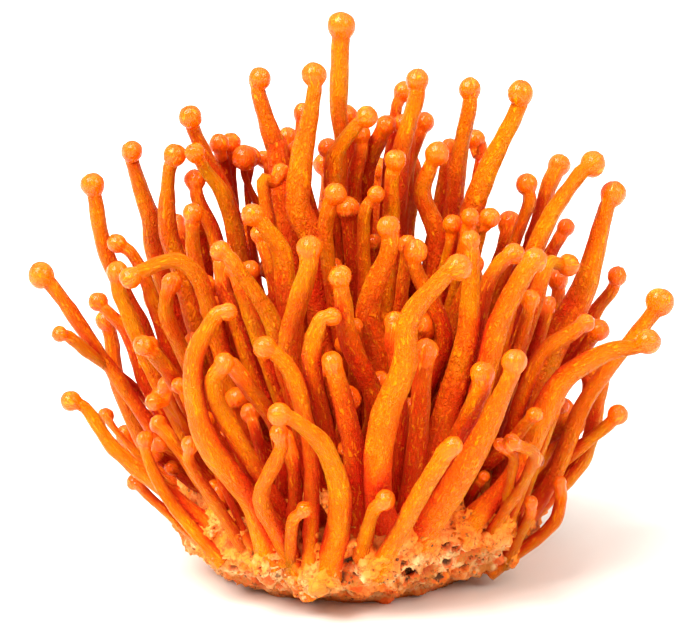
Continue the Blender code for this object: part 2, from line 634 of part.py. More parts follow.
def near_pairs(points, owner, tuft, fused, reach):
    """Pairs of points of different stalks within reach of each other, without those fused in a tuft."""
    tree = KDTree(len(points))
    for index, point in enumerate(points):
        tree.insert(point, index)
    tree.balance()
    first, second = [], []
    for index, point in enumerate(points):
        for _, other, _ in tree.find_range(point, reach):
            if other <= index or owner[other] == owner[index]:
                continue
            if tuft[other] == tuft[index] and (fused[other] or fused[index]):
                continue
            first.append(index)
            second.append(other)
    return np.array(first), np.array(second)


def grow_apart(stalks):
    """Lets the stalks push each other aside where they crowd.

    A stalk that the front view shows gives way mostly towards or away from the viewer, so that
    it keeps its place in that view. Feet slide on the base, and feet of one tuft stay fused.
    """
    centres = np.vstack([stalk.centres for stalk in stalks])
    radii = np.concatenate([stalk.radii for stalk in stalks])
    home = centres.copy()
    ends = np.cumsum([len(stalk.centres) for stalk in stalks])
    starts = ends - [len(stalk.centres) for stalk in stalks]
    upper, lower, share, tuft, freedom, stem, fused = sample_rings(stalks)
    owner = np.repeat(np.arange(len(stalks)), np.diff(np.append(0, ends)))[upper]
    head = stem < 0.5
    stem_girth = radii[upper] * (1 - share) + radii[lower] * share
    head_girth = np.repeat([stalk.head for stalk in stalks], np.diff(np.append(0, ends)))
    girth = np.where(head, head_girth[upper], stem_girth)
    foot_rings = ends - 1
    at_foot = np.isin(lower, foot_rings) & (share > AT_FOOT_SHARE)
    eye = picture_ray(*PICTURE_MIDDLE)[0]
    inner = np.ones(len(centres), bool)
    inner[starts] = False
    inner[foot_rings] = False
    seen = np.concatenate([np.full(len(stalk.centres), stalk.seen) for stalk in stalks])
    seen[foot_rings] = False
    inside_rings = np.nonzero(inner)[0]

    def points_now():
        return centres[upper] * (1 - share)[:, None] + centres[lower] * share[:, None]

    for step in range(GROWTH_ROUNDS):
        points = points_now()
        if step % 10 == 0:
            first, second = near_pairs(points, owner, tuft, fused, PUSH_REACH)
        apart = points[first] - points[second]
        distance = np.linalg.norm(apart, axis=1)
        crowding = girth[first] + girth[second] + GAP + PUSH_SLACK - distance
        close = crowding > 0
        one, two = first[close], second[close]
        apart = apart[close]
        distance = np.maximum(distance[close], 1e-3)
        crowding = crowding[close]
        sight = points[one] - eye
        sight /= np.linalg.norm(sight, axis=1)[:, None]
        behind = np.sum(apart * sight, axis=1)
        across = apart - behind[:, None] * sight
        beside = np.linalg.norm(across, axis=1)
        need = girth[one] + girth[two] + GAP + PUSH_SLACK
        wanted = np.sqrt(np.maximum(need ** 2 - beside ** 2, 0.0))
        side = np.where(behind >= 0, 1.0, -1.0)
        in_depth = (0.5 * side * np.minimum(wanted - np.abs(behind), DEEPEST_STEP))[:, None] * sight
        straight = (0.5 * crowding / distance)[:, None] * apart
        push = np.zeros_like(centres)
        weight = np.full(len(centres), 1e-9)
        for ends_of, sign in ((one, 1.0), (two, -1.0)):
            free = freedom[ends_of][:, None]
            move = sign * (free * straight + (1 - free) * in_depth)
            for ring, part in ((upper[ends_of], 1 - share[ends_of]), (lower[ends_of], share[ends_of])):
                np.add.at(push, ring, move * part[:, None])
                np.add.at(weight, ring, part)
        centres += PUSH_SHARE * push / np.maximum(weight, LEAST_WEIGHT)[:, None]

        drift = centres - home
        blend = drift.copy()
        neighbours = 0.5 * (drift[inside_rings - 1] + drift[inside_rings + 1])
        blend[inside_rings] = KEPT_DRIFT * drift[inside_rings] + EVENED_DRIFT * neighbours
        sight = centres - eye
        sight /= np.linalg.norm(sight, axis=1)[:, None]
        along = np.sum(blend * sight, axis=1)[:, None] * sight
        blend = np.where(seen[:, None], along + HELD_IN_VIEW * (blend - along), blend)
        centres = home + blend

        points = points_now()
        height, outward = over_base(points)
        sunk = np.where(at_foot, 0.0, np.maximum(girth + GAP - height, 0.0))
        sunk = np.where(np.isin(lower, foot_rings) & ~at_foot, FOOT_LIFT * sunk, sunk)
        low = np.maximum(girth + FLOOR_ROOM - points[:, 2], 0.0) * (1 - at_foot)
        rise = outward * sunk[:, None] + low[:, None] * np.array((0.0, 0.0, 1.0))
        for ring, part in ((upper, 1 - share), (lower, share)):
            lift = np.zeros_like(centres)
            np.add.at(lift, ring, LIFT_SHARE * rise * part[:, None])
            centres += lift

        for index, stalk in enumerate(stalks):
            foot = foot_rings[index]
            if stalk.leader is not None:
                lead = foot_rings[stalk.leader]
                span = centres[foot] - centres[lead]
                span_length = max(np.linalg.norm(span), 1e-3)
                joined = FUSED_FEET * (radii[foot] + radii[lead])
                if span_length > joined:
                    slip = 0.5 * (span_length - joined) / span_length * span
                    centres[foot] -= slip
                    centres[lead] += LEADER_SLIP * slip
            centres[foot] = seat(centres[foot], SEAT_GAP)

    points = points_now()
    first, second = near_pairs(points, owner, tuft, fused, PUSH_REACH)
    strangers = tuft[first] != tuft[second]
    first, second = first[strangers], second[strangers]
    distance = np.linalg.norm(points[first] - points[second], axis=1)
    thin_crowded((first, second), distance, (upper, lower, share, head, owner), girth, radii, stalks)
    for index, stalk in enumerate(stalks):
        if stalk.leader is not None:
            foot, lead = foot_rings[index], foot_rings[stalk.leader]
            span = centres[foot] - centres[lead]
            joined = FUSED_FEET * (radii[foot] + radii[lead])
            if np.linalg.norm(span) > joined:
                centres[foot] = seat(centres[lead] + span * joined / np.linalg.norm(span), SEAT_GAP)
    for stalk, start, end in zip(stalks, starts, ends):
        stalk.centres = centres[start:end]
        stalk.radii = radii[start:end]


def thin_crowded(pairs, distance, rings, girth, radii, stalks):
    """Thins the stalks where they still crowd, until each pair has clear space between."""
    upper, lower, share, head, owner = rings
    first, second = pairs
    for _ in range(THINNING_ROUNDS):
        crowding = girth[first] + girth[second] + GAP - THINNING_SLACK - distance
        close = np.nonzero(crowding > 0)[0]
        if len(close) == 0:
            break
        for pair in close:
            spare = crowding[pair] * THINNING_SHARE
            for point in (first[pair], second[pair]):
                slimmer = max(girth[point] - spare, SLIMMEST)
                if head[point]:
                    stalks[owner[point]].head = min(stalks[owner[point]].head, slimmer)
                else:
                    for ring in (upper[point], lower[point]):
                        slim = max(radii[ring] - spare * RING_THINNING_SHARE, SLIMMEST)
                        radii[ring] = min(radii[ring], slim)
        heads = np.array([stalk.head for stalk in stalks])[owner]
        girth = np.where(head, heads, radii[upper] * (1 - share) + radii[lower] * share)


def add_mesh(name, vertices, faces, material):
    """A new object in the scene, from places in millimetres."""
    mesh = bpy.data.meshes.new(name)
    mesh.from_pydata([tuple(float(value) * MM for value in vertex) for vertex in vertices], [], faces)
    mesh.materials.append(material)
    mesh.update()
    piece = bpy.data.objects.new(name, mesh)
    bpy.context.scene.collection.objects.link(piece)
    return piece


def stalk_mesh(stalk, margin=0.0):
    """Corners and faces of a stalk: a many-sided tube from the foot up to the pole of its head."""
    centres, radii, sides = stalk.centres, stalk.radii + margin, stalk.sides
    head = stalk.head + margin
    count = len(centres)
    lean = [centres[max(ring - 1, 0)] - centres[min(ring + 1, count - 1)] for ring in range(count)]
    lean = [step / np.linalg.norm(step) for step in lean]
    axis = lean[0]
    latitudes = HEAD_LATITUDES if stalk.fine_head else SMALL_HEAD_LATITUDES
    rings = []
    for latitude in latitudes:
        angle = math.radians(latitude)
        rings.append((centres[0] + axis * head * math.sin(angle), head * math.cos(angle), axis))
    rings.extend((centres[ring], radii[ring], lean[ring]) for ring in range(1, count))
    sideways = np.cross(axis, RING_START)
    vertices = [centres[0] + axis * head]
    for index, (middle, radius, direction) in enumerate(rings):
        sideways = sideways - direction * np.dot(sideways, direction)
        sideways = sideways / np.linalg.norm(sideways)
        other = np.cross(direction, sideways)
        for side in range(sides):
            turn = 2 * math.pi * side / sides
            corner = middle + radius * (math.cos(turn) * sideways + math.sin(turn) * other)
            if index == len(rings) - 1:
                corner = seat_along(corner, direction, SEAT_GAP)
            vertices.append(corner)
    faces = [(0, 1 + side, 1 + (side + 1) % sides) for side in range(sides)]
    for ring in range(len(rings) - 1):
        above = 1 + ring * sides
        below = above + sides
        for side in range(sides):
            after = (side + 1) % sides
            faces.append((above + side, below + side, below + after, above + after))
    last = 1 + (len(rings) - 1) * sides
    faces.append(tuple(last + side for side in reversed(range(sides))))
    return vertices, faces


def thin_at(stalk, faces):
    """Thins a stalk at the rings that some of its faces join."""
    head_rings = len(HEAD_LATITUDES if stalk.fine_head else SMALL_HEAD_LATITUDES)
    for row in {face // stalk.sides - 1 for face in faces}:
        for ring in (row, row + 1):
            if ring < head_rings:
                stalk.head = max(stalk.head * THINNER, THINNEST)
            elif ring - head_rings + 1 < len(stalk.radii):
                place = ring - head_rings + 1
                stalk.radii[place] = max(stalk.radii[place] * THINNER, THINNEST)


def clear_touching(stalks):
    """Thins stalks of different tufts a little further where their faceted forms would still touch."""
    for _ in range(THINNING_ROUNDS):
        trees, lows, highs = [], [], []
        for stalk in stalks:
            vertices, faces = stalk_mesh(stalk, TOUCH_MARGIN)
            trees.append(BVHTree.FromPolygons([tuple(vertex) for vertex in vertices], faces))
            lows.append(np.min(vertices, axis=0))
            highs.append(np.max(vertices, axis=0))
        touching = False
        for first, stalk in enumerate(stalks):
            for second in range(first + 1, len(stalks)):
                apart = (lows[first] > highs[second]).any() or (lows[second] > highs[first]).any()
                if apart or stalks[second].tuft == stalk.tuft:
                    continue
                crossings = trees[first].overlap(trees[second])
                if crossings:
                    touching = True
                    thin_at(stalk, [crossing[0] for crossing in crossings])
                    thin_at(stalks[second], [crossing[1] for crossing in crossings])
        if not touching:
            break


def skin_tree(piece):
    """The skin of a piece, for finding what crosses it."""
    shape = bmesh.new()
    shape.from_mesh(piece.data)
    tree = BVHTree.FromBMesh(shape)
    shape.free()
    return tree


def volume_and_bodies(mesh):
    """The volume inside a mesh, how many separate bodies it has, and whether its skin is closed."""
    shape = bmesh.new()
    shape.from_mesh(mesh)
    volume = shape.calc_volume(signed=True)
    closed = all(len(edge.link_faces) == 2 for edge in shape.edges)
    waiting = set(shape.verts)
    bodies = 0
    while waiting:
        bodies += 1
        reached = [waiting.pop()]
        while reached:
            for edge in reached.pop().link_edges:
                for vertex in edge.verts:
                    if vertex in waiting:
                        waiting.remove(vertex)
                        reached.append(vertex)
    shape.free()
    return volume, bodies, closed


def combine(piece, others, operation, keep=False):
    """Joins other objects to a piece, or cuts them from it, and removes them unless they are kept.

    Where the first result is not one closed body of a likely size, the piece is moved by a hair
    and the step is done again.
    """
    material = piece.data.materials[0]
    least = LEAST_LEFT * volume_and_bodies(piece.data)[0]
    most = least / LEAST_LEFT
    if operation == "UNION":
        most += sum(volume_and_bodies(other.data)[0] for other in others)
    for solver in ("EXACT", "EXACT", "EXACT", "MANIFOLD"):
        for other in others:
            modifier = piece.modifiers.new(operation.lower(), "BOOLEAN")
            modifier.operation = operation
            modifier.solver = solver
            modifier.object = other
        bpy.context.view_layer.update()
        view = bpy.context.evaluated_depsgraph_get()
        shaped = bpy.data.meshes.new_from_object(piece.evaluated_get(view))
        piece.modifiers.clear()
        volume, bodies, closed = volume_and_bodies(shaped)
        if closed and bodies == 1 and least < volume < most * MOST_GAINED:
            break
        piece.data.transform(Matrix.Translation(Vector(HAIR) * MM))
    piece.data = shaped
    shaped.materials.clear()
    shaped.materials.append(material)
    for other in others:
        if not keep:
            bpy.data.objects.remove(other)


def surface_material(name, colour, roughness):
    """A plain coloured surface."""
    material = bpy.data.materials.new(name)
    material.use_nodes = True
    shader = material.node_tree.nodes["Principled BSDF"]
    shader.inputs["Base Color"].default_value = (*colour, 1.0)
    shader.inputs["Roughness"].default_value = roughness
    shader.inputs["Metallic"].default_value = 0.0
    return material


def make_tuft(name, members, shade, seat_form, touch_tree):
    """One tuft: its stalks, each fused to the next at the foot, cut back where they lie into the base."""
    colour = np.array(PALE_ORANGE) * (1 - shade) + np.array(DEEP_ORANGE) * shade
    material = surface_material(name, colour, STALK_ROUGHNESS)
    pieces = []
    for member in members:
        vertices, faces = stalk_mesh(member)
        pieces.append(add_mesh(name if not pieces else f"{name}_member", vertices, faces, material))
    if len(pieces) > 1:
        combine(pieces[0], pieces[1:], "UNION")
    if skin_tree(pieces[0]).overlap(touch_tree):
        combine(pieces[0], [seat_form], "DIFFERENCE", keep=True)
    pieces[0].data.shade_smooth()
    pieces[0].data.set_sharp_from_angle(angle=STALK_SHARP_ANGLE)


def clear_of_stalks(place, size, tree, girths):
    """Whether a small ball leaves the stalks around it clear."""
    around = tree.find_range(place, KNOB_SEARCH)
    return all(distance > girths[index] + size + KNOB_ROOM for _, index, distance in around)


def ball(name, place, size, stretch, material):
    """A small twenty-sided lump."""
    shape = bmesh.new()
    bmesh.ops.create_icosphere(shape, subdivisions=1, radius=1.0)
    vertices = [np.array(place) + np.array(vertex.co) * size * np.array(stretch) for vertex in shape.verts]
    faces = [tuple(vertex.index for vertex in face.verts) for face in shape.faces]
    shape.free()
    return add_mesh(name, vertices, faces, material)


def base_form(name, material, raise_by):
    """A closed shape of the base, whose skin lies raise_by(place, height) outside its smooth form."""
    heart = np.array((0.0, 0.0, BASE_HEART_HEIGHT))
    vertices = []
    for ring, (radius, height) in enumerate(BASE_PROFILE[:-1]):
        for segment in range(BASE_SEGMENTS):
            turn = 2 * math.pi * (segment + 0.5 * (ring % 2)) / BASE_SEGMENTS
            arm = np.array((radius * math.cos(turn), radius * math.sin(turn), height - BASE_HEART_HEIGHT))
            direction = arm / np.linalg.norm(arm)
            reach = base_reach(direction[None, :])[0]
            place = heart + direction * (reach + raise_by(heart + direction * reach, height))
            if height == 0.0:
                place[2] = 0.0
            vertices.append(place)
    top = len(vertices)
    crown = heart + np.array((0.0, 0.0, BASE_PROFILE[-1][1] - BASE_HEART_HEIGHT))
    vertices.append(crown + np.array((0.0, 0.0, raise_by(crown, crown[2]))))
    faces = [tuple(reversed(range(BASE_SEGMENTS)))]
    for ring in range(len(BASE_PROFILE) - 2):
        low = ring * BASE_SEGMENTS
        high = low + BASE_SEGMENTS
        shift = ring % 2
        for segment in range(BASE_SEGMENTS):
            after = (segment + 1) % BASE_SEGMENTS
            if shift:
                faces.append((low + segment, low + after, high + after))
                faces.append((low + segment, high + after, high + segment))
            else:
                faces.append((low + segment, low + after, high + segment))
                faces.append((low + after, high + after, high + segment))
    last = top - BASE_SEGMENTS
    for segment in range(BASE_SEGMENTS):
        faces.append((last + segment, last + (segment + 1) % BASE_SEGMENTS, top))
    return add_mesh(name, vertices, faces, material)


def make_base(stalks, material):
    """The cake of mycelium, lumpy where it is bare and grown up to each foot."""
    feet = KDTree(len(stalks))
    for index, stalk in enumerate(stalks):
        feet.insert(stalk.centres[-1], index)
    feet.balance()

    def lumps(place, height):
        lump = 0.5 + 0.6 * noise.noise(Vector(place) / BASE_LUMP_SIZE)
        lump = lump + 0.4 * noise.noise(Vector(place) / (0.4 * BASE_LUMP_SIZE))
        nearest = feet.find(place)[2]
        bare = min(max((nearest - FOOT_COLLAR) / FOOT_COLLAR, 0.0), 1.0) if height > 0 else 0.5
        return -min(max(lump, 0.0), 1.0) * BASE_LUMP_DEPTH * bare

    return base_form("mycelium_base", material, lumps)


def dress_base(base, material, stalks):
    """Adds the small knobs and the open pits around the bare lower side of the base."""
    points, girths = [], []
    for stalk in stalks:
        for ring in range(len(stalk.centres) - 1):
            for share in (0.0, 0.25, 0.5, 0.75):
                points.append(stalk.centres[ring] * (1 - share) + stalk.centres[ring + 1] * share)
                girths.append(stalk.radii[ring] if ring else stalk.head)
        points.append(stalk.centres[-1])
        girths.append(stalk.radii[-1])
    tree = KDTree(len(points))
    for index, point in enumerate(points):
        tree.insert(point, index)
    tree.balance()
    skin = skin_tree(base)
    chance = random.Random(KNOB_SEED)
    knobs, pits = [], []
    placed = []
    for attempt in range(KNOB_TRIES):
        turn = chance.uniform(0.0, 2 * math.pi)
        climb = chance.uniform(math.radians(LOWEST_KNOB), math.radians(HIGHEST_KNOB))
        size = chance.uniform(*KNOB_SIZES)
        direction = np.array((math.cos(turn) * math.cos(climb), math.sin(turn) * math.cos(climb),
                              math.sin(climb)))
        heart = Vector((0.0, 0.0, BASE_HEART_HEIGHT * MM))
        hit = skin.ray_cast(heart, Vector(direction))[0]
        place = np.array(hit) / MM - KNOB_DEPTH * size * direction
        if any(np.linalg.norm(place - other) < KNOB_SPACING for other in placed):
            continue
        if len(knobs) < KNOBS and attempt % 2 == 0 and clear_of_stalks(place, size, tree, girths):
            knobs.append(ball("knob", place, size, KNOB_STRETCH, material))
            placed.append(place)
        elif len(pits) < PITS and attempt % 2 == 1:
            pits.append(ball("pit", place, size * PIT_SHARE, PIT_STRETCH, material))
            placed.append(place)
    combine(base, knobs, "UNION")
    combine(base, pits, "DIFFERENCE")
    base.data.shade_smooth()
    base.data.set_sharp_from_angle(angle=BASE_SHARP_ANGLE)


def main():
    """Clears the scene and models the bunch."""
    for old in list(bpy.data.objects):
        bpy.data.objects.remove(old)
    tufts = dict(FRONT_TUFTS)
    tufts.update(back_tufts())
    stalks = []
    for tuft_number, members in enumerate(tufts.values()):
        first = len(stalks)
        for place, stalk in enumerate(members):
            stalk.tuft = tuft_number
            lay_rings(stalk)
            near = [np.linalg.norm(stalk.foot - other.foot) for other in members[:place]]
            stalk.leader = first + int(np.argmin(near)) if near else None
            stalks.append(stalk)
    grow_apart(stalks)
    clear_touching(stalks)
    material = surface_material("mycelium_base", MYCELIUM_CREAM, MYCELIUM_ROUGHNESS)
    base = make_base(stalks, material)
    dress_base(base, material, stalks)
    seat_form = base_form("seat_form", material, lambda place, height: SEAT_GAP)
    seat_form.hide_render = True
    seat_form.display_type = "WIRE"
    touch_form = base_form("touch_form", material, lambda place, height: SEAT_TOUCH)
    touch_tree = skin_tree(touch_form)
    bpy.data.objects.remove(touch_form)
    for number, (name, members) in enumerate(tufts.items()):
        make_tuft(name, members, (number * 7 % 10) / 10, seat_form, touch_tree)
    bpy.data.objects.remove(seat_form)


main()
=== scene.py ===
import math
import random

import bmesh
import bpy
import numpy as np
from bpy.props import FloatProperty, FloatVectorProperty, IntProperty, PointerProperty
from bpy.types import Operator, Panel, PropertyGroup
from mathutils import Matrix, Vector, noise
from mathutils.bvhtree import BVHTree
from mathutils.kdtree import KDTree


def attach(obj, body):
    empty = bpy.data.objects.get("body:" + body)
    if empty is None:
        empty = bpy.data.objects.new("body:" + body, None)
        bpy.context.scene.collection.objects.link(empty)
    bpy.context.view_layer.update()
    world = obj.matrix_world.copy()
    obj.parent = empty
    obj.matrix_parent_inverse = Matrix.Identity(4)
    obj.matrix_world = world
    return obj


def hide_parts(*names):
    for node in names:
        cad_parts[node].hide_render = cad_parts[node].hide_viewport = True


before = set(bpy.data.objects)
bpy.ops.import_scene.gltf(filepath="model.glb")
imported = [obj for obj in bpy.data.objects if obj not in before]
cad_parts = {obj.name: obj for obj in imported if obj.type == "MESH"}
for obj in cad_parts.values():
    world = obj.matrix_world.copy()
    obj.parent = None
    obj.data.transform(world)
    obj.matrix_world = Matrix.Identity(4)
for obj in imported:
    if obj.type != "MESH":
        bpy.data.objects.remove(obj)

bl_info = {
    "name": "Cordyceps Bunch",
    "version": (1, 0, 0),
    "blender": (4, 5, 0),
    "location": "3D View > Sidebar > Cordyceps",
    "description": "Dresses a bunch of orange cordyceps stalks on their mycelium and sets it on a pale floor",
    "category": "Object",
}

MM = 0.001
BASE_NODE = "mycelium_base"
STALK_NODES = sorted(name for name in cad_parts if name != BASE_NODE)

# The front view of the photograph: what it looks at, from how far, and how large one picture step is
AIM = Vector((0.0, 0.0, 0.041))
VIEW_DISTANCE = 0.6
VIEW_TILT = math.radians(13.0)
PICTURE_STEP = 0.00016
PICTURE_MIDDLE = (350, 320)
PICTURE_WIDTH = 700

# A place deep inside the mycelium, from which its skin is looked for
HEART = Vector((0.0, 0.0, 0.009))

# How the solids draw a head: the latitude of its topmost ring, for a fine and for a small one
HEAD_LATITUDES = (50.0, 44.0)
LATITUDE_SLACK = 0.012

# How uneven a ring may be round its middle, on a head and on a stem
HEAD_UNEVENNESS = 0.02
STEM_UNEVENNESS = 0.06

# How far below its last ring a stem may meet the mycelium, and how far it is led on where it misses
FARTHEST_FOOT = 0.05
LED_ON = 0.012

# A stalk's line: steps for each stretch, rings of the crown and cheek of its head, and rings evened out
CURVE_STEPS = 24
CROWN_RINGS = 11
CHEEK_RINGS = 7
EVENED_RINGS = 9
FLARE_FADE = 0.0022
NECK_START = 0.25
NECK_SOFTNESS = 0.16
THINNEST = 0.00003

# Openness: the turns of the slanting rays, how often it is evened out, and the sides of the tubes they meet
RAY_TURNS = (0.4, 1.97, 3.54, 5.11)
EVENING_ROUNDS = 4
TUBE_SIDES = 6

# Young stalks: the turn from one to the next, how far out they grow tall, and how deep they may touch
NEXT_TURN = 2.39996
TALL_REACH = 0.042
LEANS_TRIED = 10
DEEPEST_TOUCH = 0.0006
SHORTEST_NECK = 0.0004
YOUNG_SIDES = 12
YOUNG_HEAD_REACH = 0.003

# The base: pits at random places, how far a pit is felt, and where its skin turns flat at the cut
RANDOM_PITS = 90
PIT_REACH = 0.0025
CUT_RISE = 0.0016
CUT_TOP = 0.0004

# Crumbs keep above this height, clear of the cut
LOWEST_CRUMB = 0.0012
CRUMB_SIZES = {"Smallest": 0.00012, "Largest": 0.00034}

# How many waves a metre the patterns have, and how far they differ from stalk to stalk
STREAK_RUN = 180.0
CRINKLE_RUN = 620.0
STREAK_SHIFT = 40.0
CRINKLE_SHIFT = 90.0
FURROW_RUN = 70.0
WRINKLE_NET = 900.0
FLESH_CLOUDS = 170.0
FLESH_NET = 1500.0
SKIN_CLOUDS = 190.0
SKIN_PATCHES = 130.0
SKIN_GRIT = 900.0
SKIN_FIBRES = 1700.0
SKIN_FISSURES = 430.0

# Dark pits and red knobs of the front, as (across, down, half width in millimetres)
PITS_SEEN = (
    (258, 571, 0.7), (234, 567, 0.8), (250, 567, 0.5), (300, 553, 0.8), (309, 557, 0.8), (349, 565, 0.9),
    (331, 572, 0.6), (346, 579, 0.9), (355, 575, 0.6), (241, 525, 0.8), (449, 547, 0.8), (457, 550, 0.7),
    (465, 556, 0.8), (404, 566, 0.6), (412, 572, 0.9), (421, 577, 1.1), (430, 568, 1.0), (438, 575, 1.1),
    (447, 562, 0.9), (427, 584, 0.8), (475, 560, 0.9), (353, 552, 0.6), (462, 568, 0.8), (488, 553, 0.7),
)
KNOBS_SEEN = (
    (267, 574, 0.95), (238, 583, 0.85), (257, 540, 0.6), (232, 545, 0.8), (208, 547, 0.8), (192, 555, 0.7),
    (323, 600, 0.7), (385, 598, 1.3), (450, 587, 1.2), (500, 560, 1.0), (369, 567, 0.7), (357, 586, 0.8),
    (474, 585, 0.9), (303, 596, 0.8), (392, 592, 1.0), (215, 556, 0.6), (461, 590, 1.0),
)

# The soft lights, as (name, where from, width in degrees, the setting with its strength, colour)
LIGHTS = (
    ("key_light", (-0.56, -0.52, 0.96), 46.0, "key", (1.0, 0.96, 0.88)),
    ("fill_light", (0.7, -0.5, 0.7), 34.0, "fill", (1.0, 0.94, 0.84)),
    ("top_light", (0.05, 0.15, 1.0), 60.0, "top", (1.0, 1.0, 1.0)),
)
FLOOR_GREY = (0.81, 0.81, 0.81, 1.0)
SURROUND_TINT = (1.0, 0.88, 0.76, 1.0)


# Shared work


def clamped(value):
    """A value held between 0 and 1."""
    return min(max(value, 0.0), 1.0)


def direction(turn, climb):
    """The direction at a turn round the upright axis and a climb above the level."""
    return Vector((math.cos(turn) * math.cos(climb), math.sin(turn) * math.cos(climb), math.sin(climb)))


def add_object(name, data):
    """An object in the scene, with its mesh, curve, light or camera."""
    made = bpy.data.objects.new(name, data)
    bpy.context.scene.collection.objects.link(made)
    return made


def room_of(places):
    """A search tree over places."""
    room = KDTree(len(places))
    for index, place in enumerate(places):
        room.insert(place, index)
    room.balance()
    return room


def picture_ray(across, down):
    """The viewer's place and the direction of a point of the photograph."""
    forward = Vector((0.0, math.cos(VIEW_TILT), -math.sin(VIEW_TILT)))
    upward = Vector((0.0, math.sin(VIEW_TILT), math.cos(VIEW_TILT)))
    eye = AIM - forward * VIEW_DISTANCE
    step = PICTURE_STEP / VIEW_DISTANCE
    ray = forward + Vector((1.0, 0.0, 0.0)) * (across - PICTURE_MIDDLE[0]) * step
    return eye, (ray + upward * (PICTURE_MIDDLE[1] - down) * step).normalized()


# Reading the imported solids


def welded(node):
    """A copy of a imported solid's mesh, with its loose triangles joined."""
    shape = bmesh.new()
    shape.from_mesh(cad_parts[node].data)
    bmesh.ops.remove_doubles(shape, verts=shape.verts, dist=1e-6)
    return shape


def base_skin():
    """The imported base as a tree, and as the joined mesh that it was made from."""
    shape = welded(BASE_NODE)
    return BVHTree.FromBMesh(shape), shape


def ring_middle(ring):
    """The middle of a ring of corners and their mean distance from it, with how uneven that is."""
    places = np.array([corner.co for corner in ring])
    middle = places.mean(axis=0)
    reach = np.linalg.norm(places - middle, axis=1)
    return middle, reach.mean(), (reach.max() - reach.min()) / reach.mean()


def tips_of(shape):
    """The tip of each stalk in a tuft: a corner that stands over one even ring, as on a ball."""
    tips = []
    for corner in shape.verts:
        ring = [edge.other_vert(corner) for edge in corner.link_edges]
        if len(ring) not in (4, 5) or len(corner.link_faces) != len(ring):
            continue
        middle, radius, unevenness = ring_middle(ring)
        if unevenness > HEAD_UNEVENNESS:
            continue
        drop = np.linalg.norm(np.array(corner.co) - middle) / radius
        for latitude in HEAD_LATITUDES:
            angle = math.radians(latitude)
            if abs(drop - (1.0 - math.sin(angle)) / math.cos(angle)) < LATITUDE_SLACK:
                tips.append((corner, ring, middle, radius / math.cos(angle)))
                break
    return tips


def way_on(ring, seen, course):
    """The direction in which the tube below a ring runs on, from its long edges."""
    ways = []
    for corner in ring:
        ahead = [edge.other_vert(corner).co - corner.co for edge in corner.link_edges
                 if edge.other_vert(corner) not in seen]
        ahead = [np.array(way) for way in ahead if way.length > 0 and way.normalized().dot(course) > 0.3]
        if ahead:
            longest = max(ahead, key=np.linalg.norm)
            ways.append(longest / np.linalg.norm(longest))
    if not ways:
        return np.array(course)
    way = np.mean(ways, axis=0)
    return way / np.linalg.norm(way)


def rings_below(ring, middle, seen):
    """The rings of a stem, from the one at its head down to the last even one, which is handed back too."""
    rings = [(middle, np.linalg.norm(np.array(ring[0].co) - middle))]
    current = ring
    while True:
        below = {edge.other_vert(corner) for corner in current for edge in corner.link_edges} - seen
        if len(below) != len(ring):
            break
        below = list(below)
        place, radius, unevenness = ring_middle(below)
        if unevenness > STEM_UNEVENNESS:
            break
        rings.append((place, radius))
        seen |= set(below)
        current = below
    return rings, current


def read_stalks(node, base_tree):
    """Each stalk of a tuft as its head's middle and size, and the middles and half thicknesses below."""
    shape = welded(node)
    stalks = []
    for tip, ring, middle, head in tips_of(shape):
        seen = {tip, *ring}
        rings, last = rings_below(ring, middle, seen)
        axis = np.array(tip.co) - middle
        axis /= np.linalg.norm(axis)
        heart = np.array(tip.co) - axis * head
        below_head = [entry for entry in rings if (heart - entry[0]) @ axis > 0.75 * head]
        places = [heart] + [entry[0] for entry in below_head]
        radii = [below_head[0][1] if below_head else 0.5 * head] + [entry[1] for entry in below_head]
        course = Vector(places[-1] - (places[-2] if len(places) > 1 else np.array(tip.co))).normalized()
        way = Vector(way_on(last, seen, course))
        start = Vector(places[-1])
        hit, _, _, distance = base_tree.ray_cast(start, way)
        if hit is None or distance > FARTHEST_FOOT:
            hit = base_tree.find_nearest(start + way * LED_ON)[0]
        places.append(np.array(hit))
        radii.append(radii[-1])
        stalks.append({"places": np.array(places), "radii": np.array(radii), "head": head, "axis": axis})
    shape.free()
    return stalks


def all_stalks():
    """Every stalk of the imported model, by node."""
    tree, shape = base_skin()
    stalks = {node: read_stalks(node, tree) for node in STALK_NODES}
    shape.free()
    return stalks


# Shaping a stalk


def curve_through(points, steps):
    """A smooth curve through the points, each stretch cut into equal steps."""
    ends = np.vstack([2 * points[0] - points[1], points, 2 * points[-1] - points[-2]])
    t = np.linspace(0.0, 1.0, steps, endpoint=False)[:, None]
    curve = []
    for before, start, stop, after in zip(ends[:-3], ends[1:-2], ends[2:-1], ends[3:]):
        first, last = np.linalg.norm(start - before), np.linalg.norm(after - stop)
        length = np.linalg.norm(stop - start)
        lean_in = (stop - before) / (first + length) * length
        lean_out = (after - start) / (last + length) * length
        curve.append((2 * t ** 3 - 3 * t ** 2 + 1) * start + (t ** 3 - 2 * t ** 2 + t) * lean_in
                     + (3 * t ** 2 - 2 * t ** 3) * stop + (t ** 3 - t ** 2) * lean_out)
    curve.append(points[-1:])
    return np.vstack(curve)


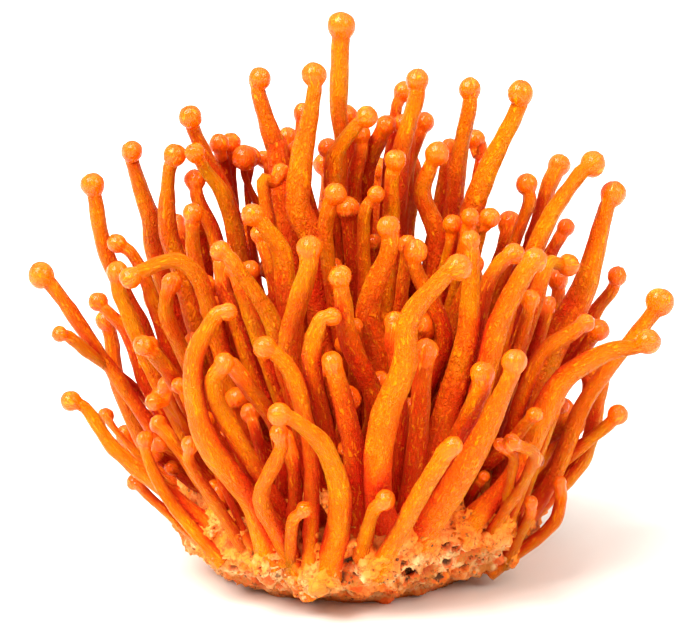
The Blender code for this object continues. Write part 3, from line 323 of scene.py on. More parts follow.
def stalk_line(stalk, look):
    """The middle line of a round stalk from its pole to just inside the mycelium, with its radii."""
    places, radii, head, axis = stalk["places"], stalk["radii"], stalk["head"], stalk["axis"]
    into = places[-1] - places[-2]
    into /= np.linalg.norm(into)
    curve = curve_through(np.vstack([places, places[-1] + into * look.sunk]), CURVE_STEPS)
    runs = np.concatenate([[0.0], np.cumsum(np.linalg.norm(np.diff(curve, axis=0), axis=1))])
    crown = -head * np.cos(np.linspace(0.06, math.pi / 2, CROWN_RINGS))
    cheek = head * np.sin(np.linspace(0.0, math.pi / 2, CHEEK_RINGS))[1:]
    stem = np.arange(head + look.ring_spacing, runs[-1], look.ring_spacing)
    marks = np.concatenate([crown, cheek, stem, runs[-1:]])
    line = np.column_stack([np.interp(marks, runs, curve[:, part]) for part in range(3)])
    above = marks < 0
    line[above] = places[0] - axis * marks[above][:, None]
    width = np.interp(marks, runs[::CURVE_STEPS], np.append(radii, radii[-1]))
    margin = EVENED_RINGS // 2
    padded = np.concatenate([np.full(margin, width[0]), width, np.full(margin, width[-1])])
    width = np.convolve(padded, np.ones(EVENED_RINGS) / EVENED_RINGS, mode="valid") * look.girth
    left = runs[-1] - marks
    width *= 1.0 + look.foot_flare * np.exp(-np.maximum(left - look.sunk, 0.0) / FLARE_FADE)
    ball = head * np.sqrt(np.clip(1.0 - (marks / head) ** 2, 0.0, None))
    neck = np.where(marks < NECK_START * head, 0.0, width)
    soft = NECK_SOFTNESS * head
    blend = np.clip(0.5 + 0.5 * (ball - neck) / soft, 0.0, 1.0)
    width = neck * (1 - blend) + ball * blend + soft * blend * (1 - blend) * (marks > NECK_START * head)
    return line, np.maximum(width, THINNEST)


def curve_object(name, lines):
    """One curve object with a straight-sided spline for each line of points and radii."""
    data = bpy.data.curves.new(name, "CURVE")
    data.dimensions = "3D"
    for line, radii in lines:
        spline = data.splines.new("POLY")
        spline.points.add(len(line) - 1)
        spline.points.foreach_set("co", np.column_stack([line, np.ones(len(line))]).ravel())
        spline.points.foreach_set("radius", radii)
    return add_object(name, data)


def bunch_skin(look):
    """The skin of the base and of plain tubes along the stalks, in one tree."""
    shape = welded(BASE_NODE)
    places = [corner.co.copy() for corner in shape.verts]
    faces = [[corner.index for corner in face.verts] for face in shape.faces]
    shape.free()
    turns = [side * math.pi / 3 for side in range(TUBE_SIDES)]
    around = [(math.cos(turn), math.sin(turn)) for turn in turns]
    for stalks in all_stalks().values():
        for stalk in stalks:
            line, radii = stalk_line(stalk, look)
            line, radii = line[4::3], radii[4::3]
            ways = np.gradient(line, axis=0)
            for index, (place, radius, way) in enumerate(zip(line, radii, ways)):
                one = Vector(way).cross((0.31, 0.87, 0.4)).normalized()
                other = Vector(way).normalized().cross(one)
                start = len(places)
                places.extend(Vector(place) + (one * first + other * second) * radius
                              for first, second in around)
                if not index:
                    continue
                for side in range(TUBE_SIDES):
                    after = (side + 1) % TUBE_SIDES
                    above = start - TUBE_SIDES
                    faces.append((above + side, above + after, start + after, start + side))
    return BVHTree.FromPolygons(places, faces)


def store_openness(mesh, solids, reach=0.03, gap=0.0006, tilt=0.95):
    """Keeps on each corner how much open room lies in front of it, from 0 deep inside to 1 in the clear: the
    mask of the painted light and shade.
    """
    around = [(math.cos(turn) * math.sin(tilt), math.sin(turn) * math.sin(tilt), math.cos(tilt))
              for turn in RAY_TURNS]
    shares = np.zeros(len(mesh.vertices))
    for index, (corner, side) in enumerate(zip(mesh.vertices, mesh.vertex_normals)):
        way = side.vector
        across = way.orthogonal().normalized()
        over = way.cross(across)
        start = corner.co + way * gap
        room = min(solids.ray_cast(start, way, reach)[3] or reach, reach)
        for first, second, third in around:
            ray = across * first + over * second + way * third
            room += solids.ray_cast(start, ray, reach)[3] or reach
        shares[index] = room / ((1.0 + len(RAY_TURNS)) * reach)
    ends = np.zeros(2 * len(mesh.edges), dtype=np.int32)
    mesh.edges.foreach_get("vertices", ends)
    ends = ends.reshape(-1, 2)
    for _ in range(EVENING_ROUNDS):
        total, count = shares.copy(), np.ones(len(shares))
        for one, other in ((0, 1), (1, 0)):
            np.add.at(total, ends[:, one], shares[ends[:, other]])
            np.add.at(count, ends[:, one], 1.0)
        shares = total / count
    mesh.attributes.new("open", "FLOAT", "POINT").data.foreach_set("value", shares)


# Node trees


class NodeMaker:
    """A node tree under construction. Its values are numbers or the outputs of its nodes."""

    def __init__(self, tree):
        self.tree = tree

    def feed(self, socket, value):
        """Links an output to a socket, or sets a plain value on it."""
        if isinstance(value, bpy.types.NodeSocket):
            self.tree.links.new(value, socket)
        else:
            socket.default_value = value

    def add(self, kind, inputs=None, **settings):
        """Adds a node with its settings, and feeds its inputs by name or by number."""
        node = self.tree.nodes.new(kind)
        for name, value in settings.items():
            setattr(node, name, value)
        for socket, value in (inputs or {}).items():
            self.feed(node.inputs[socket], value)
        return node

    def maths(self, operation, *values):
        return self.add("ShaderNodeMath", dict(enumerate(values)), operation=operation).outputs[0]

    def plus(self, first, second):
        return self.maths("ADD", first, second)

    def minus(self, first, second):
        return self.maths("SUBTRACT", first, second)

    def times(self, first, second):
        return self.maths("MULTIPLY", first, second)

    def times_plus(self, first, second, third):
        return self.maths("MULTIPLY_ADD", first, second, third)

    def off_middle(self, value):
        """How far a noise lies from its middle, either way."""
        return self.maths("ABSOLUTE", self.minus(value, 0.5))

    def vector(self, operation, *values):
        inputs = dict(enumerate(values))
        return self.add("ShaderNodeVectorMath", inputs, operation=operation).outputs[0]

    def scaled(self, vector, factor):
        inputs = {0: vector, "Scale": factor}
        return self.add("ShaderNodeVectorMath", inputs, operation="SCALE").outputs[0]

    def lifted(self, vector, height):
        """A vector with a height added to its third part."""
        lift = self.add("ShaderNodeCombineXYZ", {2: height})
        return self.vector("ADD", vector, lift.outputs[0])

    def noise(self, vector, scale, detail=2.0, roughness=0.5, distortion=0.0):
        """A noise between 0 and 1."""
        inputs = {"Vector": vector, "Scale": scale, "Detail": detail, "Roughness": roughness,
                  "Distortion": distortion}
        return self.add("ShaderNodeTexNoise", inputs).outputs[0]


class GeometryMaker(NodeMaker):
    """A Geometry Nodes tree with its named inputs, each given as (name, kind of number, default)."""

    def __init__(self, name, inputs):
        super().__init__(bpy.data.node_groups.new(name, "GeometryNodeTree"))
        face = self.tree.interface
        face.new_socket("Geometry", in_out="INPUT", socket_type="NodeSocketGeometry")
        face.new_socket("Geometry", in_out="OUTPUT", socket_type="NodeSocketGeometry")
        for label, kind, default in inputs:
            socket = face.new_socket(label, in_out="INPUT", socket_type="NodeSocket" + kind)
            socket.default_value = default
        face.new_socket("Material", in_out="INPUT", socket_type="NodeSocketMaterial")
        self.given = self.tree.nodes.new("NodeGroupInput").outputs

    def value(self, kind, output=0):
        """The output of a node that needs no inputs."""
        return self.add(kind).outputs[output]

    def store(self, geometry, name, value, data_type="FLOAT"):
        """Keeps a value on the points of the geometry under a name, and hands the geometry on."""
        inputs = {"Geometry": geometry, "Name": name, "Value": value}
        node = self.add("GeometryNodeStoreNamedAttribute", inputs, data_type=data_type, domain="POINT")
        return node.outputs[0]

    def kept(self, name, data_type="FLOAT"):
        """A value kept on the geometry under a name."""
        node = self.add("GeometryNodeInputNamedAttribute", {"Name": name}, data_type=data_type)
        return node.outputs["Attribute"]

    def pushed(self, geometry, push):
        """The geometry with its points pushed out along their normals."""
        offset = self.scaled(self.value("GeometryNodeInputNormal"), push)
        return self.add("GeometryNodeSetPosition", {"Geometry": geometry, "Offset": offset}).outputs[0]

    def end(self, geometry):
        """Ends the tree with smooth, real geometry in its material."""
        smooth = self.add("GeometryNodeSetShadeSmooth", {0: geometry})
        real = self.add("GeometryNodeRealizeInstances", {0: smooth.outputs[0]})
        inputs = {0: real.outputs[0], "Material": self.given["Material"]}
        coloured = self.add("GeometryNodeSetMaterial", inputs)
        self.add("NodeGroupOutput", {0: coloured.outputs[0]})
        return self.tree


def stalk_tree():
    """The tree that sweeps a lumpy, furrowed, wrinkled round skin along each line."""
    maker = GeometryMaker("Round stalks", (
        ("Sides", "Int", 20),
        ("Lump Size", "Float", 0.004),
        ("Lump Depth", "Float", 0.0002),
        ("Furrow Depth", "Float", 0.0001),
        ("Wrinkle Depth", "Float", 0.0001),
        ("Head Length", "Float", 0.004),
        ("Seed", "Int", 1),
    ))
    given = maker.given
    along = maker.value("GeometryNodeSplineParameter", "Length")
    whole = maker.value("GeometryNodeSplineLength", "Length")
    index = maker.value("GeometryNodeCurveOfPoint", "Curve Index")
    shade = maker.add("FunctionNodeRandomValue", {"ID": index, "Seed": given["Seed"]}, data_type="FLOAT")
    line = maker.store(given["Geometry"], "along", along)
    line = maker.store(line, "to_foot", maker.minus(whole, along))
    line = maker.store(line, "shade", shade.outputs[1])
    circle = maker.add("GeometryNodeCurvePrimitiveCircle", {"Resolution": given["Sides"], "Radius": 1.0})
    round_way = maker.value("GeometryNodeInputPosition")
    profile = maker.store(circle.outputs["Curve"], "round_way", round_way, "FLOAT_VECTOR")
    sweep = maker.add("GeometryNodeCurveToMesh", {
        "Curve": line, "Profile Curve": profile, "Scale": maker.value("GeometryNodeInputRadius"),
        "Fill Caps": True,
    })

    place = maker.value("GeometryNodeInputPosition")
    far = maker.kept("along")
    tone = maker.kept("shade")
    run = maker.times_plus(far, FURROW_RUN, maker.times(tone, STREAK_SHIFT))
    grain = maker.lifted(maker.kept("round_way", "FLOAT_VECTOR"), run)
    lumps = maker.noise(place, maker.maths("DIVIDE", 1.0, given["Lump Size"]), 1.0)
    furrows = maker.noise(maker.vector("MULTIPLY", grain, (2.2, 2.2, 1.0)), 1.0, 2.0, 0.6)
    ridges = maker.off_middle(maker.noise(place, WRINKLE_NET, 2.0, 0.55))
    more_on_head = maker.add("ShaderNodeMapRange", {
        "Value": far, "From Max": given["Head Length"], "To Min": 1.0, "To Max": 0.35,
    }).outputs[0]
    lumped = maker.times(maker.minus(lumps, 0.5), given["Lump Depth"])
    furrowed = maker.times(maker.minus(furrows, 0.5), given["Furrow Depth"])
    creased = maker.times(maker.minus(ridges, 0.12), given["Wrinkle Depth"])
    raised = maker.plus(maker.plus(lumped, furrowed), maker.times(creased, more_on_head))
    return maker.end(maker.pushed(sweep.outputs[0], raised))


def strewn_tree(name, fineness):
    """A tree that strews small rough lumps over a skin, thicker where a named share is higher."""
    maker = GeometryMaker(name, (
        ("Density", "Float", 1000.0),
        ("Spacing", "Float", 0.0005),
        ("Smallest", "Float", 0.0002),
        ("Largest", "Float", 0.0005),
        ("Seed", "Int", 3),
    ))
    given = maker.given
    spread = maker.add("GeometryNodeDistributePointsOnFaces", {
        "Mesh": given["Geometry"], "Distance Min": given["Spacing"], "Density Max": given["Density"],
        "Density Factor": maker.kept("strew"), "Seed": given["Seed"],
    }, distribute_method="POISSON")
    lump = maker.add("GeometryNodeMeshIcoSphere", {"Radius": 1.0, "Subdivisions": fineness})
    size = maker.add("FunctionNodeRandomValue", {
        2: given["Smallest"], 3: given["Largest"], "Seed": given["Seed"],
    }, data_type="FLOAT")
    strewn = maker.add("GeometryNodeInstanceOnPoints", {
        "Points": spread.outputs["Points"], "Instance": lump.outputs["Mesh"],
        "Rotation": spread.outputs["Rotation"], "Scale": size.outputs[1],
    })
    real = maker.add("GeometryNodeRealizeInstances", {0: strewn.outputs[0]})
    rough = maker.noise(maker.value("GeometryNodeInputPosition"), 1500.0, 2.0, 0.6)
    push = maker.times(maker.minus(rough, 0.5), given["Largest"])
    return maker.end(maker.pushed(real.outputs[0], push))


def run_tree(piece, tree, values):
    """Evaluates a tree on an object with the values given by input name, and keeps the result as a mesh."""
    modifier = piece.modifiers.new(tree.name, "NODES")
    modifier.node_group = tree
    for item in tree.interface.items_tree:
        if item.item_type == "SOCKET" and item.in_out == "INPUT" and item.name in values:
            modifier[item.identifier] = values[item.name]
    bpy.context.view_layer.update()
    view = bpy.context.evaluated_depsgraph_get()
    final = piece.evaluated_get(view)
    mesh = bpy.data.meshes.new_from_object(final, preserve_all_data_layers=True, depsgraph=view)
    name = piece.name
    mesh.name = name
    bpy.data.objects.remove(piece)
    return add_object(name, mesh)


# Surfaces


class Shader(NodeMaker):
    """A material under construction. Its colours are plain ones of three parts, or outputs."""

    def __init__(self, name):
        self.material = bpy.data.materials.new(name)
        self.material.use_nodes = True
        super().__init__(self.material.node_tree)
        self.principled = self.tree.nodes["Principled BSDF"]

    def attribute(self, name, output="Fac"):
        return self.add("ShaderNodeAttribute", attribute_name=name).outputs[output]

    def object_place(self):
        return self.add("ShaderNodeTexCoord").outputs["Object"]

    def ramp(self, value, low, high, out_low=0.0, out_high=1.0):
        """A smooth step from one value at low to another at high."""
        inputs = {"Value": value, "From Min": low, "From Max": high, "To Min": out_low, "To Max": out_high}
        return self.add("ShaderNodeMapRange", inputs, interpolation_type="SMOOTHSTEP").outputs[0]

    def mix(self, factor, first, second):
        """One colour laid over another by a factor."""
        node = self.add("ShaderNodeMix", {"Factor": factor}, data_type="RGBA")
        sockets = [socket for socket in node.inputs if socket.type == "RGBA"]
        for socket, value in zip(sockets, (first, second)):
            self.feed(socket, value if isinstance(value, bpy.types.NodeSocket) else (*value, 1.0))
        return next(socket for socket in node.outputs if socket.type == "RGBA")

    def layers(self, colour, *steps):
        """Colours laid over a first one, each as (value, low, high, share at low, share at high, colour)."""
        for *step, tint in steps:
            colour = self.mix(self.ramp(*step), colour, tint)
        return colour

    def bump(self, height, distance, strength):
        inputs = {"Height": height, "Distance": distance, "Strength": strength}
        return self.add("ShaderNodeBump", inputs).outputs[0]

    def finish(self, values):
        """The material, with each value put on its socket."""
        for socket, value in values.items():
            self.feed(self.principled.inputs[socket], value)
        return self.material


def flesh_material(name, look, painted_back_shade=0.0, head_reach=0.0052):
    """Waxy orange flesh, peach at the foot, with painted light and shade: yellow in the open, deep red in
    furrows, creases and between stalks, yellow glints on the upper stems.
    """
    shader = Shader(name)
    place = shader.object_place()
    way = shader.attribute("round_way", "Vector")
    along, to_foot, tone, opened = map(shader.attribute, ("along", "to_foot", "shade", "open"))
    run = shader.times_plus(along, STREAK_RUN, shader.times(tone, STREAK_SHIFT))
    grain = shader.lifted(shader.scaled(way, 3.4), run)
    streaks = shader.noise(grain, 1.0, 4.0, 0.62)
    fine = shader.noise(shader.scaled(grain, 2.7), 1.0, 3.0, 0.6)
    clouds = shader.noise(place, FLESH_CLOUDS, 3.0, 0.55)
    net = shader.noise(place, FLESH_NET, 2.0, 0.5)
    run = shader.times_plus(along, CRINKLE_RUN, shader.times(tone, CRINKLE_SHIFT))
    crinkles = shader.noise(shader.lifted(shader.scaled(way, 2.9), run), 1.0, 3.0, 0.6, 0.7)
    creases = shader.ramp(shader.off_middle(crinkles), 0.0, 0.12)
    is_head = shader.ramp(along, 0.6 * head_reach, head_reach, 1.0, 0.0)
    upper = shader.ramp(shader.minus(along, shader.times(clouds, 0.02)), 0.0, 0.03, 1.0, 0.45)
    upper = shader.times(upper, 0.5)

    warm = shader.plus(shader.times(clouds, 0.8), shader.times(tone, 0.2))
    colour = shader.layers(
        look.deep,
        (warm, 0.26, 0.62, 0.0, 1.0, look.body),
        (warm, 0.42, 0.78, 0.0, 1.0, look.bright),
        # Painted shade: deep red along the low lines of the streaks, the furrows of the bump.
        (streaks, 0.36, 0.56, 0.4, 0.0, look.deep),
        (fine, 0.56, 0.72, 0.0, 0.28, look.bright),
        # Painted light and painted shade by openness: yellower where the flesh lies open, deep red where it
        # is shut in between the stalks.
        (opened, 0.5, 1.0, 0.0, 0.42, look.bright),
        (opened, 0.30, 0.95, 1.0, 0.0, look.inner),
    )
    colour = shader.mix(shader.times(is_head, 0.8), colour, look.head)
    above_foot = shader.plus(to_foot, shader.times(clouds, 0.006))
    colour = shader.mix(shader.ramp(above_foot, 0.001, 0.007, 0.6, 0.0), colour, look.foot)
    # Painted shade: the copy for the stalks at the back is laid further towards deep red.
    if painted_back_shade:
        colour = shader.mix(shader.times_plus(tone, 0.2, painted_back_shade), colour, look.deep)
    # Painted highlights: yellow glints on the crinkles of the upper stems.
    painted_glints = shader.times(shader.ramp(crinkles, 0.55, 0.68), upper)
    colour = shader.mix(painted_glints, colour, look.bright)
    # Painted shade: deep red in the valleys of the crinkles.
    colour = shader.mix(shader.ramp(creases, 0.0, 0.5, 0.22, 0.0), colour, look.deep)

    dull = shader.plus(shader.ramp(fine, 0.3, 0.7, 0.25, 0.38), shader.ramp(opened, 0.35, 0.9, 0.45, 0.0))
    glazed = shader.ramp(along, 0.4 * head_reach, 0.75 * head_reach, 1.0, 0.0)
    height = shader.plus(shader.times(creases, upper), shader.times(streaks, 0.7))
    height = shader.plus(height, shader.times(net, 0.42))
    height = shader.times(height, shader.times_plus(is_head, -0.85, 1.0))
    return shader.finish({
        "Base Color": colour,
        "Roughness": shader.times_plus(is_head, -0.14, dull),
        "Specular IOR Level": 0.3,
        "Specular Tint": (1.0, 0.75, 0.32, 1.0),
        "Subsurface Weight": look.translucency,
        "Subsurface Radius": (1.0, 0.25, 0.04),
        "Subsurface Scale": 0.0011,
        "Coat Weight": shader.times(glazed, 0.36),
        "Coat Roughness": 0.07,
        "Normal": shader.bump(height, 0.0015, 1.0),
    })


def mycelium_material(name, look):
    """Cream mycelium, tan and orange in patches, darker towards the bottom, with dark brown grit in its pits
    and painted shade between the feet.
    """
    shader = Shader(name)
    place = shader.object_place()
    pit, foot, knob, high, opened = map(shader.attribute, ("pit", "foot", "knob", "high", "open"))
    height = shader.add("ShaderNodeSeparateXYZ", {0: place}).outputs["Z"]
    clouds = shader.noise(place, SKIN_CLOUDS, 4.0, 0.6)
    patches = shader.noise(shader.vector("ADD", place, (0.31, 0.17, 0.05)), SKIN_PATCHES, 3.0, 0.6)
    grit = shader.noise(place, SKIN_GRIT, 3.0, 0.65)
    fibres = shader.noise(shader.vector("MULTIPLY", place, (1.0, 1.0, 0.45)), SKIN_FIBRES, 3.0, 0.7)
    fissures = shader.off_middle(shader.noise(place, SKIN_FISSURES, 3.0, 0.6))
    stained = shader.plus(patches, shader.times(high, 0.25))

    colour = shader.layers(
        look.tan,
        (clouds, 0.42, 0.60, 0.0, 1.0, look.cream),
        (stained, 0.50, 0.62, 0.0, 0.8, look.orange),
        (foot, 0.05, 0.7, 0.0, 0.95, look.orange),
        (height, 0.0, 0.006, 0.65, 0.0, look.under),
        # Darker red brown towards the bottom, just over the cut.
        (fissures, 0.0, 0.045, 0.7, 0.0, look.knob),
        # Painted shade: red brown where the skin lies shut in between the feet.
        (opened, 0.3, 0.85, 0.9, 0.0, look.painted_shade_brown),
        (grit, 0.57, 0.69, 0.0, 0.7, look.dark),
        (knob, 0.2, 0.7, 0.0, 0.9, look.knob),
        (pit, 0.02, 0.25, 0.0, 0.7, look.knob),
        (pit, 0.25, 0.8, 0.0, 0.96, look.dark),
    )
    relief = shader.plus(shader.times(fibres, 0.5), shader.times(grit, 0.7))
    return shader.finish({
        "Base Color": colour,
        "Roughness": shader.ramp(grit, 0.3, 0.7, 0.55, 0.8),
        "Specular Tint": (1.0, 0.85, 0.6, 1.0),
        "Subsurface Weight": 0.2,
        "Subsurface Radius": (1.0, 0.55, 0.3),
        "Subsurface Scale": 0.001,
        "Normal": shader.bump(relief, 0.0005, 0.9),
    })


def crumb_material(name, colour, second, roughness):
    """The surface of crumbs, in two tones."""
    shader = Shader(name)
    place = shader.object_place()
    clouds = shader.noise(place, 420.0, 3.0, 0.6)
    return shader.finish({
        "Base Color": shader.mix(shader.ramp(clouds, 0.38, 0.62), colour, second),
        "Roughness": roughness,
        "Subsurface Weight": 0.15,
        "Subsurface Scale": 0.001,
        "Normal": shader.bump(shader.noise(place, 1800.0, 3.0, 0.6), 0.0003, 0.7),
    })


# Settings


def length_property(label, about, default):
    return FloatProperty(name=label, description=about, default=default, unit="LENGTH", subtype="DISTANCE")


def number_property(label, about, default):
    return FloatProperty(name=label, description=about, default=default)


def colour_property(label, about, default):
    return FloatVectorProperty(
        name=label, description=about, default=default, subtype="COLOR", min=0.0, max=1.0)


class CordycepsStalkLook(PropertyGroup):
    """The size of the detail and the colours of the stalks."""

    sides: IntProperty(name="Sides", description="Corners around each stalk", default=20, min=8)
    ring_spacing: length_property("Ring Spacing", "Distance between the rings of a stem", 0.0007)
    sunk: length_property("Sunk Foot", "How far a foot reaches into the mycelium", 0.0014)
    sleeve: length_property("Sleeve", "How far the mycelium climbs a foot", 0.006)
    sleeve_spread: length_property("Sleeve Spread", "How quickly a sleeve narrows", 0.0024)
    foot_flare: number_property("Foot Flare", "How much wider a foot is than its stem", 0.3)
    lump_size: length_property("Lump Size", "Distance between the gentle lumps of a stem", 0.0042)
    lump_depth: length_property("Lump Depth", "Height of the gentle lumps", 0.00062)
    furrow_depth: length_property("Furrow Depth", "Depth of the lengthwise furrows", 0.00036)
    wrinkle_depth: length_property("Wrinkle Depth", "Depth of the net of fine wrinkles", 0.00042)
    head_length: length_property("Head Length", "How far from the tip the wrinkled head reaches", 0.0045)
    girth: number_property("Girth", "How thick a stem is against its packed solid", 1.1)
    translucency: number_property("Translucency", "How much light the flesh lets in", 0.3)
    bright: colour_property("Bright Flesh", "Yellow orange of the best lit flesh", (1.0, 0.36, 0.0006))
    body: colour_property("Body Flesh", "Orange of most of the flesh", (1.0, 0.16, 0.0003))
    deep: colour_property("Deep Flesh", "Red orange in furrows and shade", (1.0, 0.06, 0.0002))
    # Painted shade: the deep red laid on flesh shut in between the stalks.
    inner: colour_property("Inner Flesh", "Red of the flesh deep between the stalks", (0.76, 0.010, 0.0001))
    head: colour_property("Head Flesh", "Orange of the round heads", (1.0, 0.145, 0.0003))
    foot: colour_property("Foot Flesh", "Pale peach where a stalk leaves the mycelium", (1.0, 0.28, 0.016))


class CordycepsBaseLook(PropertyGroup):
    """The relief and the colours of the mycelium base."""

    crease_depth: length_property("Crease Depth", "Depth of the creases between the lobes", 0.0007)
    grain: length_property("Grain", "Size of the facets of the skin", 0.00044)
    softening: IntProperty(name="Softening", description="Passes that smooth the skin", default=10, min=0)
    lump_depth: length_property("Lump Depth", "Height of the lumps of the skin", 0.0016)
    lump_size: length_property("Lump Size", "Distance between the lumps", 0.0042)
    crumb_depth: length_property("Crumb Depth", "Height of the fine crumbs of the skin", 0.0005)
    pit_depth: length_property("Pit Depth", "Depth of the dark pits", 0.0014)
    cream: colour_property("Cream", "Fresh mycelium", (0.84, 0.56, 0.24))
    tan: colour_property("Tan", "Older mycelium", (0.58, 0.18, 0.02))
    orange: colour_property("Orange", "Mycelium that turns into stalks", (0.96, 0.23, 0.004))
    dark: colour_property("Dark", "Grit in the pits", (0.075, 0.026, 0.009))
    knob: colour_property("Knob", "Red orange knobs", (0.80, 0.10, 0.004))
    under: colour_property("Under", "Darkened skin just over the cut", (0.60, 0.12, 0.012))
    # Painted shade: the red brown laid on skin shut in between the feet.
    painted_shade_brown: colour_property("Shut", "Red brown between the feet", (0.50, 0.055, 0.003))


class CordycepsYoungLook(PropertyGroup):
    """The short young stalks between the grown ones."""

    tries: IntProperty(name="Tries", description="Places tried for a young stalk", default=420)
    seed: IntProperty(name="Seed", description="Seed for where they stand", default=5)
    shortest: length_property("Shortest", "Length of the shortest young stalk", 0.004)
    longest: length_property("Longest", "Length of the longest one, on top", 0.046)
    lowest: length_property("Lowest Foot", "Height on the mycelium above which they stand", 0.014)
    ceiling: length_property("Ceiling", "Height that no young stalk passes", 0.06)
    thickness: length_property("Thickness", "Half thickness of a young stem", 0.0011)


class CordycepsStageLook(PropertyGroup):
    """The floor and the lights."""

    floor_radius: length_property("Floor Radius", "Radius of the pale floor", 4.0)
    key: number_property("Key Light", "Strength of the large light at the upper left", 6.6)
    fill: number_property("Fill Light", "Strength of the light at the upper right", 1.8)
    top: number_property("Top Light", "Strength of the light overhead", 0.9)
    sky: number_property("Surround", "Brightness of the white surround", 0.6)


class CordycepsSettings(PropertyGroup):
    """Everything about the bunch that a user would change."""

    stalks: PointerProperty(type=CordycepsStalkLook)
    base: PointerProperty(type=CordycepsBaseLook)
    young: PointerProperty(type=CordycepsYoungLook)
    stage: PointerProperty(type=CordycepsStageLook)


# The grown stalks


def stalk_values(look, material, seed):
    """The inputs of the stalk tree."""
    return {
        "Sides": look.sides, "Lump Size": look.lump_size, "Lump Depth": look.lump_depth,
        "Furrow Depth": look.furrow_depth, "Wrinkle Depth": look.wrinkle_depth,
        "Head Length": look.head_length, "Seed": seed, "Material": material,
    }


class CORDYCEPS_OT_stalks(Operator):
    """Replaces each tuft of faceted stalks with smooth, furrowed, round-headed ones"""

    bl_idname = "cordyceps.stalks"
    bl_label = "Dress the Stalks"

    def execute(self, context):
        look = context.scene.cordyceps.stalks
        tree = stalk_tree()
        solids = bunch_skin(look)
        front = flesh_material("orange_flesh", look)
        # The stalks at the back take a copy of the flesh with painted shade.
        back = flesh_material("deep_orange_flesh", look, 0.1)
        for number, (node, stalks) in enumerate(all_stalks().items()):
            behind = node.startswith(("back_outer", "back_inner"))
            lines = [stalk_line(stalk, look) for stalk in stalks]
            piece = curve_object("flesh_" + node, lines)
            piece = run_tree(piece, tree, stalk_values(look, back if behind else front, number))
            store_openness(piece.data, solids)
            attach(piece, "root")
            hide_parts(node)
        return {"FINISHED"}


# The young stalks


def any_way(chance):
    """A vector of three random parts."""
    return Vector([chance.uniform(-1.0, 1.0) for _ in range(3)])


def young_size(look, foot, chance):
    """Length, half thickness and head size of a young stalk, by where its foot stands."""
    middle_share = max(1.0 - (foot.x / TALL_REACH) ** 2, 0.0) * min((foot.z - look.lowest) / 0.004, 1.0)
    front = clamped(-foot.y / 0.03)
    reach = look.shortest + (look.longest * (1.0 - 0.6 * front) - look.shortest) * middle_share
    length = look.shortest + (reach - look.shortest) * chance.uniform(0.5, 1.0)
    length = min(length, look.ceiling - foot.z)
    radius = look.thickness * chance.uniform(0.8, 1.25) * (0.8 + 0.5 * length / look.longest)
    return length, radius, radius * chance.uniform(1.2, 1.55)


def freest_lean(foot, way, size, room, girths, chance):
    """The clearance, middle and tip of the lean that keeps a young stalk clearest of the others."""
    length, radius, head = size
    best = None
    for _ in range(LEANS_TRIED):
        lean = any_way(chance) * 0.3
        rise = (way + lean + Vector((0.0, 0.0, 0.6))).normalized()
        side = rise.cross(any_way(chance)) * 0.07 * length
        clearance = 1.0
        for share in np.arange(0.12, 1.01, 0.004 / length):
            bow = side * 4.0 * share * (1.0 - share)
            _, index, distance = room.find(foot + rise * length * share + bow)
            need = head if share > 0.93 else radius
            clearance = min(clearance, distance - girths[index] - need)
        if best is None or clearance > best[0]:
            best = (clearance, foot + rise * length * 0.5 + side, foot + rise * length)
    return best


def young_stalk(foot, middle, tip, radius, head):
    """A young stalk in the form that read_stalks gives a grown one."""
    heart = np.array(tip)
    axis = np.array((tip - middle).normalized())
    places = np.array([heart, heart - axis * head * 1.1, np.array(middle), np.array(foot)])
    radii = np.array([radius * 0.8, radius * 0.8, radius, radius * 1.1])
    if np.linalg.norm(places[1] - places[2]) < SHORTEST_NECK:
        places, radii = places[[0, 1, 3]], radii[[0, 1, 3]]
    return {"places": places, "radii": radii, "head": head, "axis": axis}


class CORDYCEPS_OT_young(Operator):
    """Grows short young stalks on the mycelium, wherever the grown ones leave room"""

    bl_idname = "cordyceps.young"
    bl_label = "Grow the Young Stalks"

    def execute(self, context):
        settings = context.scene.cordyceps
        look = settings.young
        chance = random.Random(look.seed)
        points, girths = [], []
        for stalks in all_stalks().values():
            for stalk in stalks:
                line, radii = stalk_line(stalk, settings.stalks)
                points.extend(line[::2])
                girths.extend(radii[::2])
        tree, shape = base_skin()
        lines = []
        room = room_of(points)
        for number in range(look.tries):
            turn = number * NEXT_TURN + chance.uniform(-0.3, 0.3)
            climb = math.asin(chance.uniform(0.05, 1.0))
            way = direction(turn, climb)
            foot = tree.ray_cast(HEART, way)[0]
            if foot is None or foot.z < look.lowest:
                continue
            size = young_size(look, foot, chance)
            clearance, middle, tip = freest_lean(foot, way, size, room, girths, chance)
            if clearance < -DEEPEST_TOUCH:
                continue
            line, radii = stalk_line(young_stalk(foot, middle, tip, *size[1:]), settings.stalks)
            lines.append((line, radii))
            points.extend(line[::2])
            girths.extend(radii[::2])
            room = room_of(points)
        shape.free()
        material = flesh_material("young_flesh", settings.stalks, 0.0, YOUNG_HEAD_REACH)
        piece = curve_object("young_stalks", lines)
        values = stalk_values(settings.stalks, material, 77)
        values["Sides"] = YOUNG_SIDES
        piece = run_tree(piece, stalk_tree(), values)
        store_openness(piece.data, bunch_skin(settings.stalks))
        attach(piece, "root")
        return {"FINISHED"}


# The mycelium base


def sleeves(look, stalks):
    """The feet of the stalks as lines that widen downwards, for the mycelium to climb."""
    lines = []
    for stalk in stalks:
        line, radii = stalk_line(stalk, look)
        left = np.cumsum(np.linalg.norm(np.diff(line, axis=0), axis=1)[::-1])[::-1]
        left = np.append(left, 0.0) - look.sunk
        low = left < look.sleeve
        widened = radii * (0.78 + 0.7 * np.exp(-np.maximum(left, 0.0) / look.sleeve_spread))
        widened *= np.clip(line[:, 2] / 0.005, 0.4, 1.0)
        if low.sum() > 2:
            lines.append((line[low], widened[low]))
    return lines


